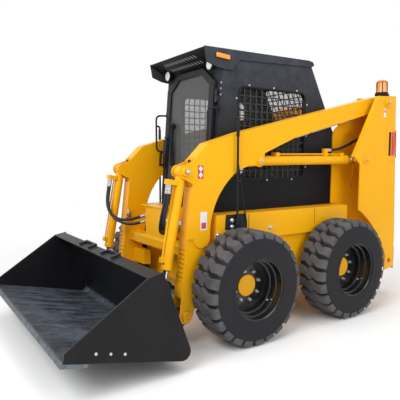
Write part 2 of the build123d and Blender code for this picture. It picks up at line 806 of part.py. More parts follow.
with BuildPart() as cab_rear:
    with BuildSketch(side_plane(-cab_in)):
        with BuildLine():
            Polyline(
                roof_rear, waist, (cab_rear_y, 1300), (cab_rear_y, deck_z), (cab_rear_y - cab_wall, deck_z),
                (cab_rear_y - cab_wall, 1297), (waist[0] - 29, 1455), (roof_rear[0] - 34, roof_rear[1] - 1),
                close=True,
            )
        make_face()
    extrude(amount=2 * cab_in)
    with BuildSketch(Plane.XZ.offset(-900)):
        with Locations((0, (rear_low + rear_high) / 2)):
            RectangleRounded(2 * rear_half, rear_high - rear_low, rear_corner_r)
    extrude(amount=400, mode=Mode.SUBTRACT)

save(cab_rear.part, "cab_rear")

frame_in_x = door_half - 30
frame_foot_z = door_foot_z + 27
frame_top_z = door_top_z - 20

with BuildPart() as cab_frame:
    with BuildSketch(side_plane(-cab_in)):
        with BuildLine():
            Polyline(
                (face_y(deck_z), deck_z), (face_y(eaves_z), eaves_z), (face_y(eaves_z) + 45, eaves_z),
                (face_y(deck_z) + 45, deck_z), close=True,
            )
        make_face()
    extrude(amount=2 * cab_in)
    with BuildSketch(face_plane.offset(60)):
        with BuildLine():
            Polyline(
                (-frame_in_x, up(frame_foot_z)), (-frame_in_x, up(frame_top_z - 105)),
                (135 - frame_in_x, up(frame_top_z)), (frame_in_x - 135, up(frame_top_z)),
                (frame_in_x, up(frame_top_z - 105)), (frame_in_x, up(frame_foot_z)), close=True,
            )
        make_face()
    extrude(amount=-200, mode=Mode.SUBTRACT)
    # fixed halves of the door's hinges
    for foot in door_hinges:
        with BuildSketch(face_plane.shift_origin(face_plane.from_local_coords((0, up(foot), 0)))):
            with Locations((door_pin_x - 1, hinge_len / 2)):
                Rectangle(20, hinge_len)
        extrude(amount=door_pin_out)
        with BuildSketch(hinge_plane(foot)):
            Circle(knuckle_r)
        extrude(amount=hinge_len)
        with BuildSketch(hinge_plane(foot)):
            Circle(door_pin_r)
        extrude(amount=2 * hinge_len)

save(cab_frame.part, "cab_frame")

with BuildPart() as cab_floor:
    with BuildSketch(Plane.XY.offset(470)):
        with Locations((0, (tub_front_y + skin + bay_front_y - skin) / 2)):
            Rectangle(2 * tub_inner, bay_front_y - tub_front_y - 2 * skin)
    extrude(amount=12)

save(cab_floor.part, "cab_floor")

lamp_at = (cab_half - 88, eaves_z - 46)
lamp_r = 44.0
cheek_t = 10.0
header_z = eaves_z - 56  # lower edge of the header over the door
header_y = face_y(header_z)
visor_y = -410.0

with BuildPart() as cab_roof:
    with BuildSketch(side_plane(-cab_half)):
        with BuildLine():
            Polyline(
                (visor_y, eaves_z + 38), (roof_rear[0] - 40, eaves_z + 58), (roof_rear[0] + 4, eaves_z + 51),
                (roof_rear[0] + 22, eaves_z + 28), roof_rear, (face_y(eaves_z), eaves_z), (header_y, header_z),
                (header_y - 6, header_z), (visor_y + 5, eaves_z + 24), close=True,
            )
        make_face()
    extrude(amount=2 * cab_half)
    with Locations(*[(side * lamp_at[0], -296, lamp_at[1]) for side in (-1, 1)]):
        Cylinder(lamp_r + 1, 130, rotation=(90, 0, 0), align=(Align.CENTER, Align.CENTER, Align.MIN),
                 mode=Mode.SUBTRACT)
    # two rows of slanted air slots in the header
    with BuildSketch(Plane.XZ.offset(-header_y - 4)):
        for row_z in (header_z + 32, header_z + 62):
            with Locations((0, row_z)):
                with GridLocations(37, 1, 12, 1):
                    with Locations(Rotation(0, 0, -35)):
                        Rectangle(7, 26)
    extrude(amount=200 - header_y, mode=Mode.SUBTRACT)
    with BuildSketch(side_plane(cab_half)):
        with BuildLine():
            Polyline(
                (visor_y - 2, eaves_z + 41), (roof_rear[0] - 40, eaves_z + 61),
                (roof_rear[0] + 6, eaves_z + 54), (roof_rear[0] + 24, eaves_z + 28),
                (roof_rear[0], eaves_z + 16), (roof_rear[0] - 70, eaves_z + 10),
                (-103, eaves_z - 18), (-170, header_z - 40), (-248, header_z - 38), (-305, header_z - 32),
                (visor_y + 18, header_z - 4), close=True,
            )
        make_face()
    extrude(amount=cheek_t)
    mirror(about=Plane.YZ)

save(cab_roof.part, "cab_roof")

with BuildPart() as work_lamps:
    for side in (-1, 1):
        with BuildSketch(Plane.XZ.offset(296)):
            with Locations((side * lamp_at[0], lamp_at[1])):
                Circle(lamp_r)
        extrude(amount=48)

save(work_lamps.part, "work_lamps")

with BuildPart() as marker_lamps:
    with BuildSketch(side_plane(cab_half + cheek_t)):
        with Locations((-259, eaves_z - 11)):
            RectangleRounded(124, 32, 5)
    extrude(amount=14)
    mirror(about=Plane.YZ)

save(marker_lamps.part, "marker_lamps")

# ---------------------------------------------------------------- cab door
door_gap = 5.0  # behind the leaf
leaf_plane = face_plane.offset(door_gap)


def door_shape(half, foot_z, shoulder_z, top_half, top_z):
    """Outline of the door or its glass on the leaning face, with slanted upper corners."""
    right = ((half, up(foot_z)), (half, up(shoulder_z)), (top_half, up(top_z)))
    return right + tuple((-x, y) for x, y in reversed(right))


door_outline = door_shape(door_half, door_foot_z, door_top_z - 110, door_half - 153, door_top_z)
glass_half = door_half - 57
glass_outline = door_shape(glass_half, door_foot_z + 48, door_top_z - 130, glass_half - 118, door_top_z - 42)
handle_at = (28 - door_half, 1240.0)
wiper_x = 63 - glass_half

with BuildPart() as door_frame:
    with BuildSketch(leaf_plane):
        with BuildLine():
            Polyline(*door_outline, close=True)
        make_face()
        with BuildLine():
            Polyline(*glass_outline, close=True)
        make_face(mode=Mode.SUBTRACT)
    extrude(amount=door_t)
    for foot in door_hinges:
        knuckle_plane = hinge_plane(foot + hinge_len + 1)
        with BuildSketch(knuckle_plane):
            Circle(knuckle_r)
            with Locations((-12, 0)):
                Rectangle(24, 10)
        extrude(amount=hinge_len)
        with BuildSketch(knuckle_plane):
            Circle(door_pin_r + running_gap)
        extrude(amount=hinge_len, mode=Mode.SUBTRACT)

save(door_frame.part, "door_frame")

with BuildPart() as door_glass:
    with BuildSketch(leaf_plane.offset(10)):
        with BuildLine():
            Polyline(*glass_outline, close=True)
        make_face()
    extrude(amount=6)

save(door_glass.part, "door_glass")

with BuildPart() as door_fittings:
    # handle on the free side
    with BuildSketch(leaf_plane.offset(door_t)):
        with Locations((handle_at[0], up(handle_at[1]))):
            RectangleRounded(38, 150, 8)
    extrude(amount=14)
    with BuildSketch(leaf_plane.offset(door_t + 14)):
        with Locations((handle_at[0], up(handle_at[1] + 50)), (handle_at[0], up(handle_at[1] - 50))):
            Rectangle(16, 16)
    extrude(amount=26)
    with BuildSketch(leaf_plane.offset(door_t + 40)):
        with Locations((handle_at[0], up(handle_at[1]))):
            RectangleRounded(20, 130, 6)
    extrude(amount=12)
    # wiper: motor hub on the glass's lower rail, arm and blade
    with BuildSketch(leaf_plane.offset(16)):
        with Locations((wiper_x, up(1500))):
            Circle(22)
    extrude(amount=34)
    with BuildSketch(leaf_plane.offset(30)):
        with Locations((wiper_x, up(1345))):
            Rectangle(12, 310)
    extrude(amount=10)

save(door_fittings.part, "door_fittings")

# ---------------------------------------------------------------- windows
mesh_pitch = 52.0
bar_w = 8.0
bar_t = 4.0
slope = (roof_rear[0] - waist[0]) / (roof_rear[1] - waist[1])


def slope_y(z, inward):
    """Y of the slanted rear wall at a height, a distance inside its outer face."""
    return waist[0] + (z - waist[1]) * slope - inward * hypot(1, slope)


def slanted(low, high, inward, thickness):
    """Side-view corners of a flat piece that lies in the slanted rear wall."""
    return (
        (slope_y(low, inward), low), (slope_y(high, inward), high),
        (slope_y(high, inward + thickness), high), (slope_y(low, inward + thickness), low),
    )


with BuildPart() as window_mesh:
    bars_up = int(window_w / mesh_pitch)
    bars_across = int(window_h / mesh_pitch)
    with BuildSketch(side_plane(cab_half - 10)):
        with Locations(side_window):
            with GridLocations(window_w / bars_up, 1, bars_up - 1, 1):
                Rectangle(bar_w, window_h)
    extrude(amount=bar_t)
    with BuildSketch(side_plane(cab_half - 16)):
        with Locations(side_window):
            with GridLocations(1, window_h / bars_across, 1, bars_across - 1):
                Rectangle(window_w, bar_w)
    extrude(amount=bar_t)
    mirror(about=Plane.YZ)
    # rear window: bars up the slope, then bars across
    for step in range(1, 9):
        bar_x = -rear_half + step * 2 * rear_half / 9
        with BuildSketch(side_plane(bar_x - bar_w / 2)):
            with BuildLine():
                Polyline(*slanted(rear_low, rear_high, 4, bar_t), close=True)
            make_face()
        extrude(amount=bar_w)
    for step in range(1, 7):
        bar_z = rear_low + step * (rear_high - rear_low) / 7
        with BuildSketch(side_plane(-rear_half)):
            with BuildLine():
                Polyline(*slanted(bar_z - bar_w / 2, bar_z + bar_w / 2, 10, bar_t), close=True)
            make_face()
        extrude(amount=2 * rear_half)

save(window_mesh.part, "window_mesh")

with BuildPart() as cab_glass:
    with BuildSketch(side_plane(-rear_half)):
        with BuildLine():
            Polyline(*slanted(rear_low, rear_high, 18, 5), close=True)
        make_face()
    extrude(amount=2 * rear_half)
    with BuildSketch(Plane.XZ.offset(-900)):
        with Locations((0, (rear_low + rear_high) / 2)):
            RectangleRounded(2 * rear_half, rear_high - rear_low, rear_corner_r)
    extrude(amount=400, mode=Mode.INTERSECT)
    with BuildSketch(side_plane(cab_in + 4)):
        with Locations(side_window):
            RectangleRounded(window_w, window_h, 45)
    extrude(amount=5)
    mirror(about=Plane.YZ)

save(cab_glass.part, "cab_glass")

# ---------------------------------------------------------------- operator's place
floor_top = 482.0

console_in = 245.0
console_out = cab_in - 10
stick_x = (console_in + console_out) / 2

with BuildPart() as operator_station:
    with BuildSketch(Plane.XY.offset(floor_top)):
        with Locations((0, 470)):
            Rectangle(400, 440)
    extrude(amount=330)
    for side in (-1, 1):
        with BuildSketch(side_plane(side * console_in)):
            with BuildLine():
                Polyline(
                    (120, floor_top), (60, 960), (110, 1010), (560, 1040), (640, 980), (640, floor_top),
                    close=True,
                )
            make_face()
        extrude(amount=side * (console_out - console_in))
        # joystick
        with BuildSketch(Plane.XY.offset(1000)):
            with Locations((side * stick_x, 190)):
                Circle(26)
        extrude(amount=40)
        with BuildSketch(Plane.XY.offset(1040)):
            with Locations((side * stick_x, 190)):
                Circle(13)
        extrude(amount=130)
        with BuildSketch(Plane.XY.offset(1170)):
            with Locations((side * stick_x, 190)):
                Circle(21)
        extrude(amount=45)

save(operator_station.part, "operator_station")

with BuildPart() as seat_cushion:
    with BuildSketch(Plane.XY.offset(floor_top + 330)):
        with Locations((0, 440)):
            RectangleRounded(450, 500, 50)
    extrude(amount=95)

save(seat_cushion.part, "seat_cushion")

with BuildPart() as seat_back:
    with BuildSketch(Plane.XY.offset(floor_top + 330)):
        with Locations((0, 752)):
            Rectangle(300, 12)
    extrude(amount=90)
    with BuildSketch(side_plane(-215)):
        with BuildLine():
            Polyline(
                (690.3, 830), (690.3, 907), (735, 1420), (775, 1450), (820, 1425), (812, 1300), (790, 830),
                close=True,
            )
        make_face()
    extrude(amount=430)

save(seat_back.part, "seat_back")

# ---------------------------------------------------------------- engine hood and rear door
hood_half = tub_half - 8
hood_pin = (bay_front_y + 22, bay_z + 18)
hood_front_y = hood_pin[0] + 12
hood_rear_y = tub_rear_y + 6
hood_hinge_x = 250.0
lid_pin_r = 4.0

with BuildPart() as engine_hood:
    with BuildSketch(side_plane(-hood_half)):
        with BuildLine():
            Polyline(
                (hood_front_y, bay_z + 5), (hood_front_y, bay_z + 30), (hood_rear_y - 20, bay_z + 30),
                (hood_rear_y + 14, bay_z + 14), (hood_rear_y + 14, bay_z - 12), (hood_rear_y + 4, bay_z - 12),
                (hood_rear_y + 4, bay_z + 5), close=True,
            )
        make_face()
    extrude(amount=2 * hood_half)
    for side in (-1, 1):
        with BuildSketch(side_plane(side * hood_hinge_x - 30)):
            with Locations(hood_pin):
                Circle(9)
            with Locations((hood_pin[0] + 10, hood_pin[1])):
                Rectangle(20, 10)
        extrude(amount=60)
        with BuildSketch(side_plane(side * hood_hinge_x - 30)):
            with Locations(hood_pin):
                Circle(lid_pin_r + running_gap)
        extrude(amount=60, mode=Mode.SUBTRACT)

save(engine_hood.part, "engine_hood")

rear_leaf_y = tub_rear_y + joint_gap + 1
rear_leaf_t = 30.0
rear_pin = (rear_door_half + 7, rear_leaf_y + rear_leaf_t + 6)
rear_hinge_z = (520.0, 1090.0)

with BuildPart() as rear_door:
    with BuildSketch(Plane.XZ.offset(-rear_leaf_y)):
        with Locations((0, (rear_door_low + rear_door_top) / 2)):
            RectangleRounded(2 * rear_door_half, rear_door_top - rear_door_low, 12)
        with Locations((0, 980)):
            with GridLocations(1, 40, 1, 8):
                Rectangle(480, 20, mode=Mode.SUBTRACT)
        with Locations((0, 600)):
            with GridLocations(1, 40, 1, 4):
                Rectangle(480, 20, mode=Mode.SUBTRACT)
    extrude(amount=-rear_leaf_t)
    for foot in rear_hinge_z:
        with BuildSketch(Plane.XY.offset(foot)):
            with Locations(rear_pin):
                Circle(10)
            with Locations((rear_pin[0] - 12, rear_pin[1] - 6)):
                Rectangle(24, 8)
        extrude(amount=50)
        with BuildSketch(Plane.XY.offset(foot)):
            with Locations(rear_pin):
                Circle(lid_pin_r + running_gap)
        extrude(amount=50, mode=Mode.SUBTRACT)

save(rear_door.part, "rear_door")

with BuildPart() as lid_hinges:
    # fixed halves of the hood's hinges on the bay's front edge
    for side in (-1, 1):
        for end in (-1, 1):
            with BuildSketch(side_plane(side * hood_hinge_x + end * 40 - 8)):
                with Locations((hood_pin[0] - 10, bay_z + 10)):
                    Rectangle(32, 20)
                with Locations(hood_pin):
                    Circle(9)
            extrude(amount=16)
        with BuildSketch(side_plane(side * hood_hinge_x - 48)):
            with Locations(hood_pin):
                Circle(lid_pin_r)
        extrude(amount=96)
    # fixed halves of the rear door's hinges on the left tower
    for foot in rear_hinge_z:
        with BuildSketch(Plane.XY.offset(foot - 22)):
            with Locations(rear_pin):
                Circle(9)
            with Locations((rear_pin[0] + 14, rear_pin[1])):
                Rectangle(28, 8)
        extrude(amount=20)
        with BuildSketch(Plane.XY.offset(foot - 22)):
            with Locations(rear_pin):
                Circle(lid_pin_r)
        extrude(amount=70)

save(lid_hinges.part, "lid_hinges")

# ---------------------------------------------------------------- lamps and rails
with BuildPart() as tail_lamps:
    with BuildSketch(side_plane(tower_out_x - 92)):
        with BuildLine():
            Polyline((1497.8, 1250), (1485.3, 1500), (1525, 1500), (1538, 1250), close=True)
        make_face()
    extrude(amount=86)
    mirror(about=Plane.YZ)

save(tail_lamps.part, "tail_lamps")

beacon_at = (tower_out_x - 110, 1422.0)

with BuildPart() as beacon:
    with BuildSketch(Plane.XY.offset(rear_top[1])):
        with Locations((beacon_at[0], beacon_at[1] + 15)):
            Rectangle(58, 62)
    extrude(amount=16)
    with BuildSketch(Plane.XY.offset(rear_top[1] + 16)):
        with Locations(beacon_at):
            Circle(57)
    extrude(amount=26)
    with BuildSketch(Plane.XY.offset(rear_top[1] + 42)):
        with Locations(beacon_at):
            Circle(50)
    extrude(amount=110, taper=4)

save(beacon.part, "beacon")

handle_x = cab_half - 12
handle_r = 7.0
stay_x = box_out_x + 20
stay_y = -240.0
stay_foot_z = deck_z - 32
stay_socket = 45.0
bracket_t = 8.0
brace_r = 5.0
brace_foot = Vector(box_out_x + bracket_t + 3, stay_y - 66, stay_foot_z - 20)
brace_head = Vector(stay_x, stay_y, stay_foot_z + 360)

with BuildPart() as rails:
    # grab handles on the cab's front corners
    with BuildLine():
        FilletPolyline(
            (handle_x, -240, 1600), (handle_x, -370, 1596), (handle_x, -370, 1304), (handle_x, -240, 1300),
            radius=30,
        )
    with BuildSketch(Plane(origin=(handle_x, -240, 1600), z_dir=(0, -1, 0))):
        Circle(handle_r)
    sweep()
    # the ends stop at the cab's face
    with BuildSketch(face_plane):
        with Locations((0, up(1450))):
            Rectangle(3 * handle_x, 500)
    extrude(amount=-100, mode=Mode.SUBTRACT)
    # upright rods in brackets on the boxes beside the cab
    with BuildSketch(side_plane(box_out_x)):
        with BuildLine():
            Polyline(
                (stay_y - 84, deck_z), (stay_y - 92, deck_z - 102), (stay_y + 22, deck_z - 113),
                (stay_y + 22, deck_z - 62), (stay_y + 14, deck_z), close=True,
            )
        make_face()
    extrude(amount=bracket_t)
    with BuildSketch(Plane.XY.offset(stay_foot_z - stay_socket)):
        with Locations((stay_x, stay_y - 3)):
            Circle(13)
    extrude(amount=stay_socket)
    with BuildSketch(Plane.XY.offset(stay_foot_z)):
        with Locations((stay_x, stay_y)):
            Circle(8)
    extrude(amount=700)
    # slanted braces between the brackets and the rods
    with BuildSketch(Plane(origin=brace_foot, z_dir=brace_head - brace_foot)):
        Circle(brace_r)
    extrude(amount=(brace_head - brace_foot).length)
    mirror(about=Plane.YZ)

save(rails.part, "rails")

# ---------------------------------------------------------------- hoses
tilt_hose_r = 11.0
lift_hose_r = 12.0


def hose(label, route, radius):
    """A hose along straight runs that tangent arcs join, as large as the runs allow."""
    points = [Vector(*point) for point in route]
    bends = []
    for before, corner, after in zip(points, points[1:], points[2:]):
        half_turn = radians((corner - before).get_angle(after - corner)) / 2
        run = min((corner - before).length, (after - corner).length)
        bends.append(0.45 * run / tan(half_turn))
    with BuildPart() as tube:
        with BuildLine():
            FilletPolyline(*points, radius=bends)
        with BuildSketch(Plane(origin=points[0], z_dir=points[1] - points[0])):
            Circle(radius)
        sweep()
    print(label, "arc radii", [round(bend) for bend in bends])
    save(tube.part, label)


for hand, side in (("left", 1), ("right", -1)):
    for name, port_z, route in (
        ("outer", cover_ports[0], (
            (483, -745, 1070), (484, -753, 1008), (482, -764, 945), (470, -772, 882), (443, -768, 822),
            (399, -745, 779), (346, -704, 759), (288, -658, 763),
        )),
        ("inner", cover_ports[1], (
            (457, -745, 1070), (456, -754, 1007), (452, -767, 943), (439, -777, 878), (410, -773, 815),
            (366, -750, 766), (318, -708, 739), (270, -660, 728),
        )),
    ):
        end_plane = port_plane(side, port_z)
        before_port = end_plane.from_local_coords((0, 0, port_len + 58))
        at_port = end_plane.from_local_coords((0, 0, port_len))
        points = [(side * x, y, z) for x, y, z in route]
        hose(f"hose_tilt_{name}_{hand}", points + [tuple(before_port), tuple(at_port)], tilt_hose_r)
    lift_route = (
        (470, 740.4, 1315.8), (470, 800, 1316.5), (467, 862, 1322), (460, 925, 1333), (450, 988, 1348),
        (440, 1052, 1366), (432, 1116, 1387), (428, 1180, 1410), (428, 1222, 1426), (428, hose_block_y - 4.5, 1440),
    )
    hose(f"hose_lift_{hand}", [(side * x, y, z) for x, y, z in lift_route], lift_hose_r)
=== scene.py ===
"""Skid steer loader: finishes, fittings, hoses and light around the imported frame.

Metres. The machine faces -Y, its left side is +X and +Z is up. Every piece rides on a body of the
frame. The frame's own nodes keep their shape and get their finish here, apart from those that a
more detailed piece stands for.
"""
import logging
import math
from dataclasses import dataclass, field
from enum import Enum
from typing import Dict, Iterable, List, Optional, Sequence, Tuple

import bmesh
import bpy
from mathutils import Matrix, Vector


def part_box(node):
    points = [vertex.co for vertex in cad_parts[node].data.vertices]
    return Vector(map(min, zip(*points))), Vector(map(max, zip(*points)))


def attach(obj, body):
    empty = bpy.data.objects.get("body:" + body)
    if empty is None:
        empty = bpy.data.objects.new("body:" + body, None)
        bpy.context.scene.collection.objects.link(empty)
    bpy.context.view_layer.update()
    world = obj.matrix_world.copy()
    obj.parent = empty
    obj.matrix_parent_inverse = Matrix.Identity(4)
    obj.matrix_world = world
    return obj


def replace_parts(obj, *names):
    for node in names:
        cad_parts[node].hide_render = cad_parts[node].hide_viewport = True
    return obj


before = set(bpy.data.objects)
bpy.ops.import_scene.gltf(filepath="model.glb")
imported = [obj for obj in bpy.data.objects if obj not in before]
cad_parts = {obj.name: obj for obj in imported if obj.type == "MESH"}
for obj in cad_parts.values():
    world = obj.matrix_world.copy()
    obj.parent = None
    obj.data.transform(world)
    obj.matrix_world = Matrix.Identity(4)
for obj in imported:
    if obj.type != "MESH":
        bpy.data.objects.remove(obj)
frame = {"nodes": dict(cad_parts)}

log = logging.getLogger("loader")

Point = Tuple[float, float, float]
Pair = Tuple[float, float]
Colour = Tuple[float, float, float]
Face = Tuple[int, ...]
Socket = bpy.types.NodeSocket
Node = bpy.types.Node
Tree = bpy.types.NodeTree
Material = bpy.types.Material
Piece = bpy.types.Object

SIDES: Tuple[int, int] = (1, -1)
HANDS: Dict[int, str] = {1: "left", -1: "right"}


class Body(Enum):
    """Bodies of the frame that pieces ride on."""

    MACHINE = "machine"
    BOOM = "boom"
    BUCKET = "bucket"
    DOOR = "cab_door"
    HOOD = "hood"
    REAR_DOOR = "back_door"


class Slot(Enum):
    """Material slots of the record, named where pieces are built."""

    YELLOW = "yellow_paint"
    BLACK = "black_paint"
    CHROME = "rod_chrome"
    TYRE = "tyre_rubber"
    HOSE = "hose_rubber"
    SEAT = "seat_cover"
    CONSOLE = "console_plastic"
    AMBER = "amber_plastic"
    RED = "red_plastic"
    LAMP = "lamp_plastic"


# --- shader groups
class Group:
    """A shader node group under construction, with named inputs and outputs."""

    def __init__(self, name: str, **inputs: object) -> None:
        """Starts a group with its inputs and a node of the object's own coordinates.

        Args:
            name: the group's name.
            inputs: default values, each a number or a colour; underscores stand for spaces.
        """
        self.tree = bpy.data.node_groups.new(name, "ShaderNodeTree")
        self.start = self.tree.nodes.new("NodeGroupInput")
        self.end = self.tree.nodes.new("NodeGroupOutput")
        self.place = self.tree.nodes.new("ShaderNodeTexCoord")
        for key, value in inputs.items():
            kind = "NodeSocketFloat" if isinstance(value, float) else "NodeSocketColor"
            socket = self.tree.interface.new_socket(name=key.replace("_", " "), in_out="INPUT",
                                                    socket_type=kind)
            socket.default_value = value

    def give(self, name: str, source: Socket, kind: str = "NodeSocketFloat") -> None:
        """Adds an output socket fed by source."""
        self.tree.interface.new_socket(name=name, in_out="OUTPUT", socket_type=kind)
        self.tree.links.new(source, self.end.inputs[name])

    def node(self, kind: str, **settings: object) -> Node:
        """Adds a node.

        Args:
            kind: the node's type.
            settings: values of its properties.

        Returns:
            The node.
        """
        made = self.tree.nodes.new(kind)
        for key, value in settings.items():
            setattr(made, key, value)
        return made

    def put(self, value: object, target: Socket) -> None:
        """Feeds a socket.

        Args:
            value: a number, a socket or the name of one of the group's inputs.
            target: the socket that takes it.
        """
        if isinstance(value, (int, float)):
            target.default_value = value
            return
        self.tree.links.new(self.start.outputs[value] if isinstance(value, str) else value, target)

    def maths(self, operation: str, first: object, second: object, clamp: bool = False) -> Socket:
        """One Math node.

        Args:
            operation: the node's operation.
            first: a socket, an input's name or a number.
            second: the same.
            clamp: whether the result stays within 0 to 1.

        Returns:
            The node's output socket.
        """
        made = self.node("ShaderNodeMath", operation=operation, use_clamp=clamp)
        self.put(first, made.inputs[0])
        self.put(second, made.inputs[1])
        return made.outputs[0]

    def noise(self, scale: object, detail: float, roughness: float = 0.5,
              vector: Optional[Socket] = None) -> Socket:
        """Noise over the object's own coordinates or over another vector.

        Args:
            scale: the noise's scale, as put takes it.
            detail: its detail.
            roughness: its roughness.
            vector: what it is laid over, the object's coordinates if left out.

        Returns:
            The noise's value.
        """
        made = self.node("ShaderNodeTexNoise")
        made.inputs["Detail"].default_value = detail
        made.inputs["Roughness"].default_value = roughness
        self.put(vector or self.place.outputs["Object"], made.inputs["Vector"])
        self.put(scale, made.inputs["Scale"])
        return made.outputs["Fac"]

    def spread(self, source: Socket, low: object, high: object, falling: bool = False,
               soft: bool = False) -> Socket:
        """Spreads a stretch of values over 0 to 1.

        Args:
            source: the value.
            low: where the stretch starts, as put takes it.
            high: where it ends.
            falling: whether the result runs from 1 down to 0.
            soft: whether it leaves and meets its ends smoothly.

        Returns:
            The spread value.
        """
        made = self.node("ShaderNodeMapRange", interpolation_type="SMOOTHSTEP" if soft else "LINEAR")
        if falling:
            made.inputs["To Min"].default_value, made.inputs["To Max"].default_value = 1.0, 0.0
        self.put(source, made.inputs["Value"])
        self.put(low, made.inputs["From Min"])
        self.put(high, made.inputs["From Max"])
        return made.outputs["Result"]

    def height_of(self, output: str) -> Socket:
        """The Z share of a coordinate.

        Args:
            output: Object or Normal.

        Returns:
            The share's socket.
        """
        made = self.node("ShaderNodeSeparateXYZ")
        self.put(self.place.outputs[output], made.inputs[0])
        return made.outputs["Z"]


def mottle_group() -> Tree:
    """A colour that varies softly between two tones, with a fine break-up.

    Returns:
        The group, which gives Colour and Mask.
    """
    g = Group("mottle", Tone_A=(0.5, 0.5, 0.5, 1), Tone_B=(0.4, 0.4, 0.4, 1), Scale=6.0, Amount=1.0)
    cloud = g.spread(g.noise("Scale", 6, 0.62), 0.36, 0.66)
    mix = g.node("ShaderNodeMix", data_type="RGBA")
    g.put(g.maths("MULTIPLY", cloud, "Amount", clamp=True), mix.inputs["Factor"])
    g.put("Tone A", mix.inputs[6])
    g.put("Tone B", mix.inputs[7])
    g.give("Colour", mix.outputs[2], "NodeSocketColor")
    g.give("Mask", cloud)
    return g.tree


def edge_group() -> Tree:
    """A mask of rounded edges, for wear and, on the enamels, a lighter painted highlight along the edges, and
    the normal of softly rounded edges.

    Returns:
        The group, which gives Mask and Normal.
    """
    g = Group("edge wear", Radius=0.003, Grit=40.0, Strength=4.0)
    soft = g.node("ShaderNodeBevel", samples=4)
    g.put("Radius", soft.inputs["Radius"])
    flat = g.node("ShaderNodeNewGeometry")
    dot = g.node("ShaderNodeVectorMath", operation="DOT_PRODUCT")
    g.put(soft.outputs["Normal"], dot.inputs[0])
    g.put(flat.outputs["Normal"], dot.inputs[1])
    bend = g.maths("SUBTRACT", 1.0, dot.outputs["Value"])
    rough = g.maths("MULTIPLY", bend, g.noise("Grit", 4))
    g.give("Mask", g.maths("MULTIPLY", rough, "Strength", clamp=True))
    g.give("Normal", soft.outputs["Normal"], "NodeSocketVector")
    return g.tree


def dust_and_sheen_group() -> Tree:
    """A mask that gathers low down and on faces that look up, and leaves those that look down: dust on most
    finishes, and on the cab, whose heights run the other way, a painted reflection that is lighter towards
    the roof.

    Returns:
        The group, which gives Mask.
    """
    g = Group("dust_and_sheen", Low=0.0, High=0.6, Amount=0.4, Scale=9.0)
    fall = g.spread(g.height_of("Object"), "Low", "High", falling=True)
    facing = g.height_of("Normal")
    both = g.maths("ADD", fall, g.maths("MULTIPLY", facing, 0.35, clamp=True))
    shelter = g.maths("ADD", g.maths("MULTIPLY", facing, 3.0), 1.0, clamp=True)
    patch = g.maths("MULTIPLY", g.maths("MULTIPLY", both, shelter), g.noise("Scale", 8, 0.7))
    g.give("Mask", g.maths("MULTIPLY", patch, "Amount", clamp=True))
    return g.tree


def grain_group() -> Tree:
    """Height of a fine grain: orange peel on paint, pores on rubber, leather or plastic.

    Returns:
        The group, which gives Height.
    """
    g = Group("grain", Scale=300.0, Cells=0.0)
    cells = g.node("ShaderNodeTexVoronoi", feature="F1")
    g.put(g.place.outputs["Object"], cells.inputs["Vector"])
    g.put("Scale", cells.inputs["Scale"])
    mix = g.node("ShaderNodeMix", data_type="FLOAT")
    g.put("Cells", mix.inputs["Factor"])
    g.put(g.noise("Scale", 2), mix.inputs[2])
    g.put(cells.outputs["Distance"], mix.inputs[3])
    g.give("Height", mix.outputs[0])
    return g.tree


def scrape_group() -> Tree:
    """A mask of scrapes drawn out along the machine's length, within a band of heights.

    Returns:
        The group, which gives Mask.
    """
    g = Group("scrapes", Scale=5.0, Low=0.05, High=0.3, Amount=1.0)
    stretch = g.node("ShaderNodeMapping")
    stretch.inputs["Scale"].default_value = (3.2, 0.9, 2.0)
    stretch.inputs["Rotation"].default_value = (0, 0, 0.35)
    g.put(g.place.outputs["Object"], stretch.inputs["Vector"])
    lift = g.spread(g.noise("Scale", 10, 0.75, stretch.outputs["Vector"]), 0.42, 0.68)
    band = g.spread(g.height_of("Object"), "Low", "High", falling=True, soft=True)
    upward = g.maths("MULTIPLY", g.height_of("Normal"), 1.6, clamp=True)
    flat = g.maths("MULTIPLY", g.maths("MULTIPLY", lift, band), upward)
    g.give("Mask", g.maths("MULTIPLY", flat, "Amount", clamp=True))
    return g.tree


@dataclass(frozen=True)
class Effects:
    """The shader groups that the finishes share."""

    mottle: Tree
    edge: Tree
    dust_and_sheen: Tree
    grain: Tree
    scrape: Tree

    @classmethod
    def make(cls) -> "Effects":
        """Builds each group once."""
        return cls(mottle_group(), edge_group(), dust_and_sheen_group(), grain_group(), scrape_group())


EFFECTS: Effects = Effects.make()


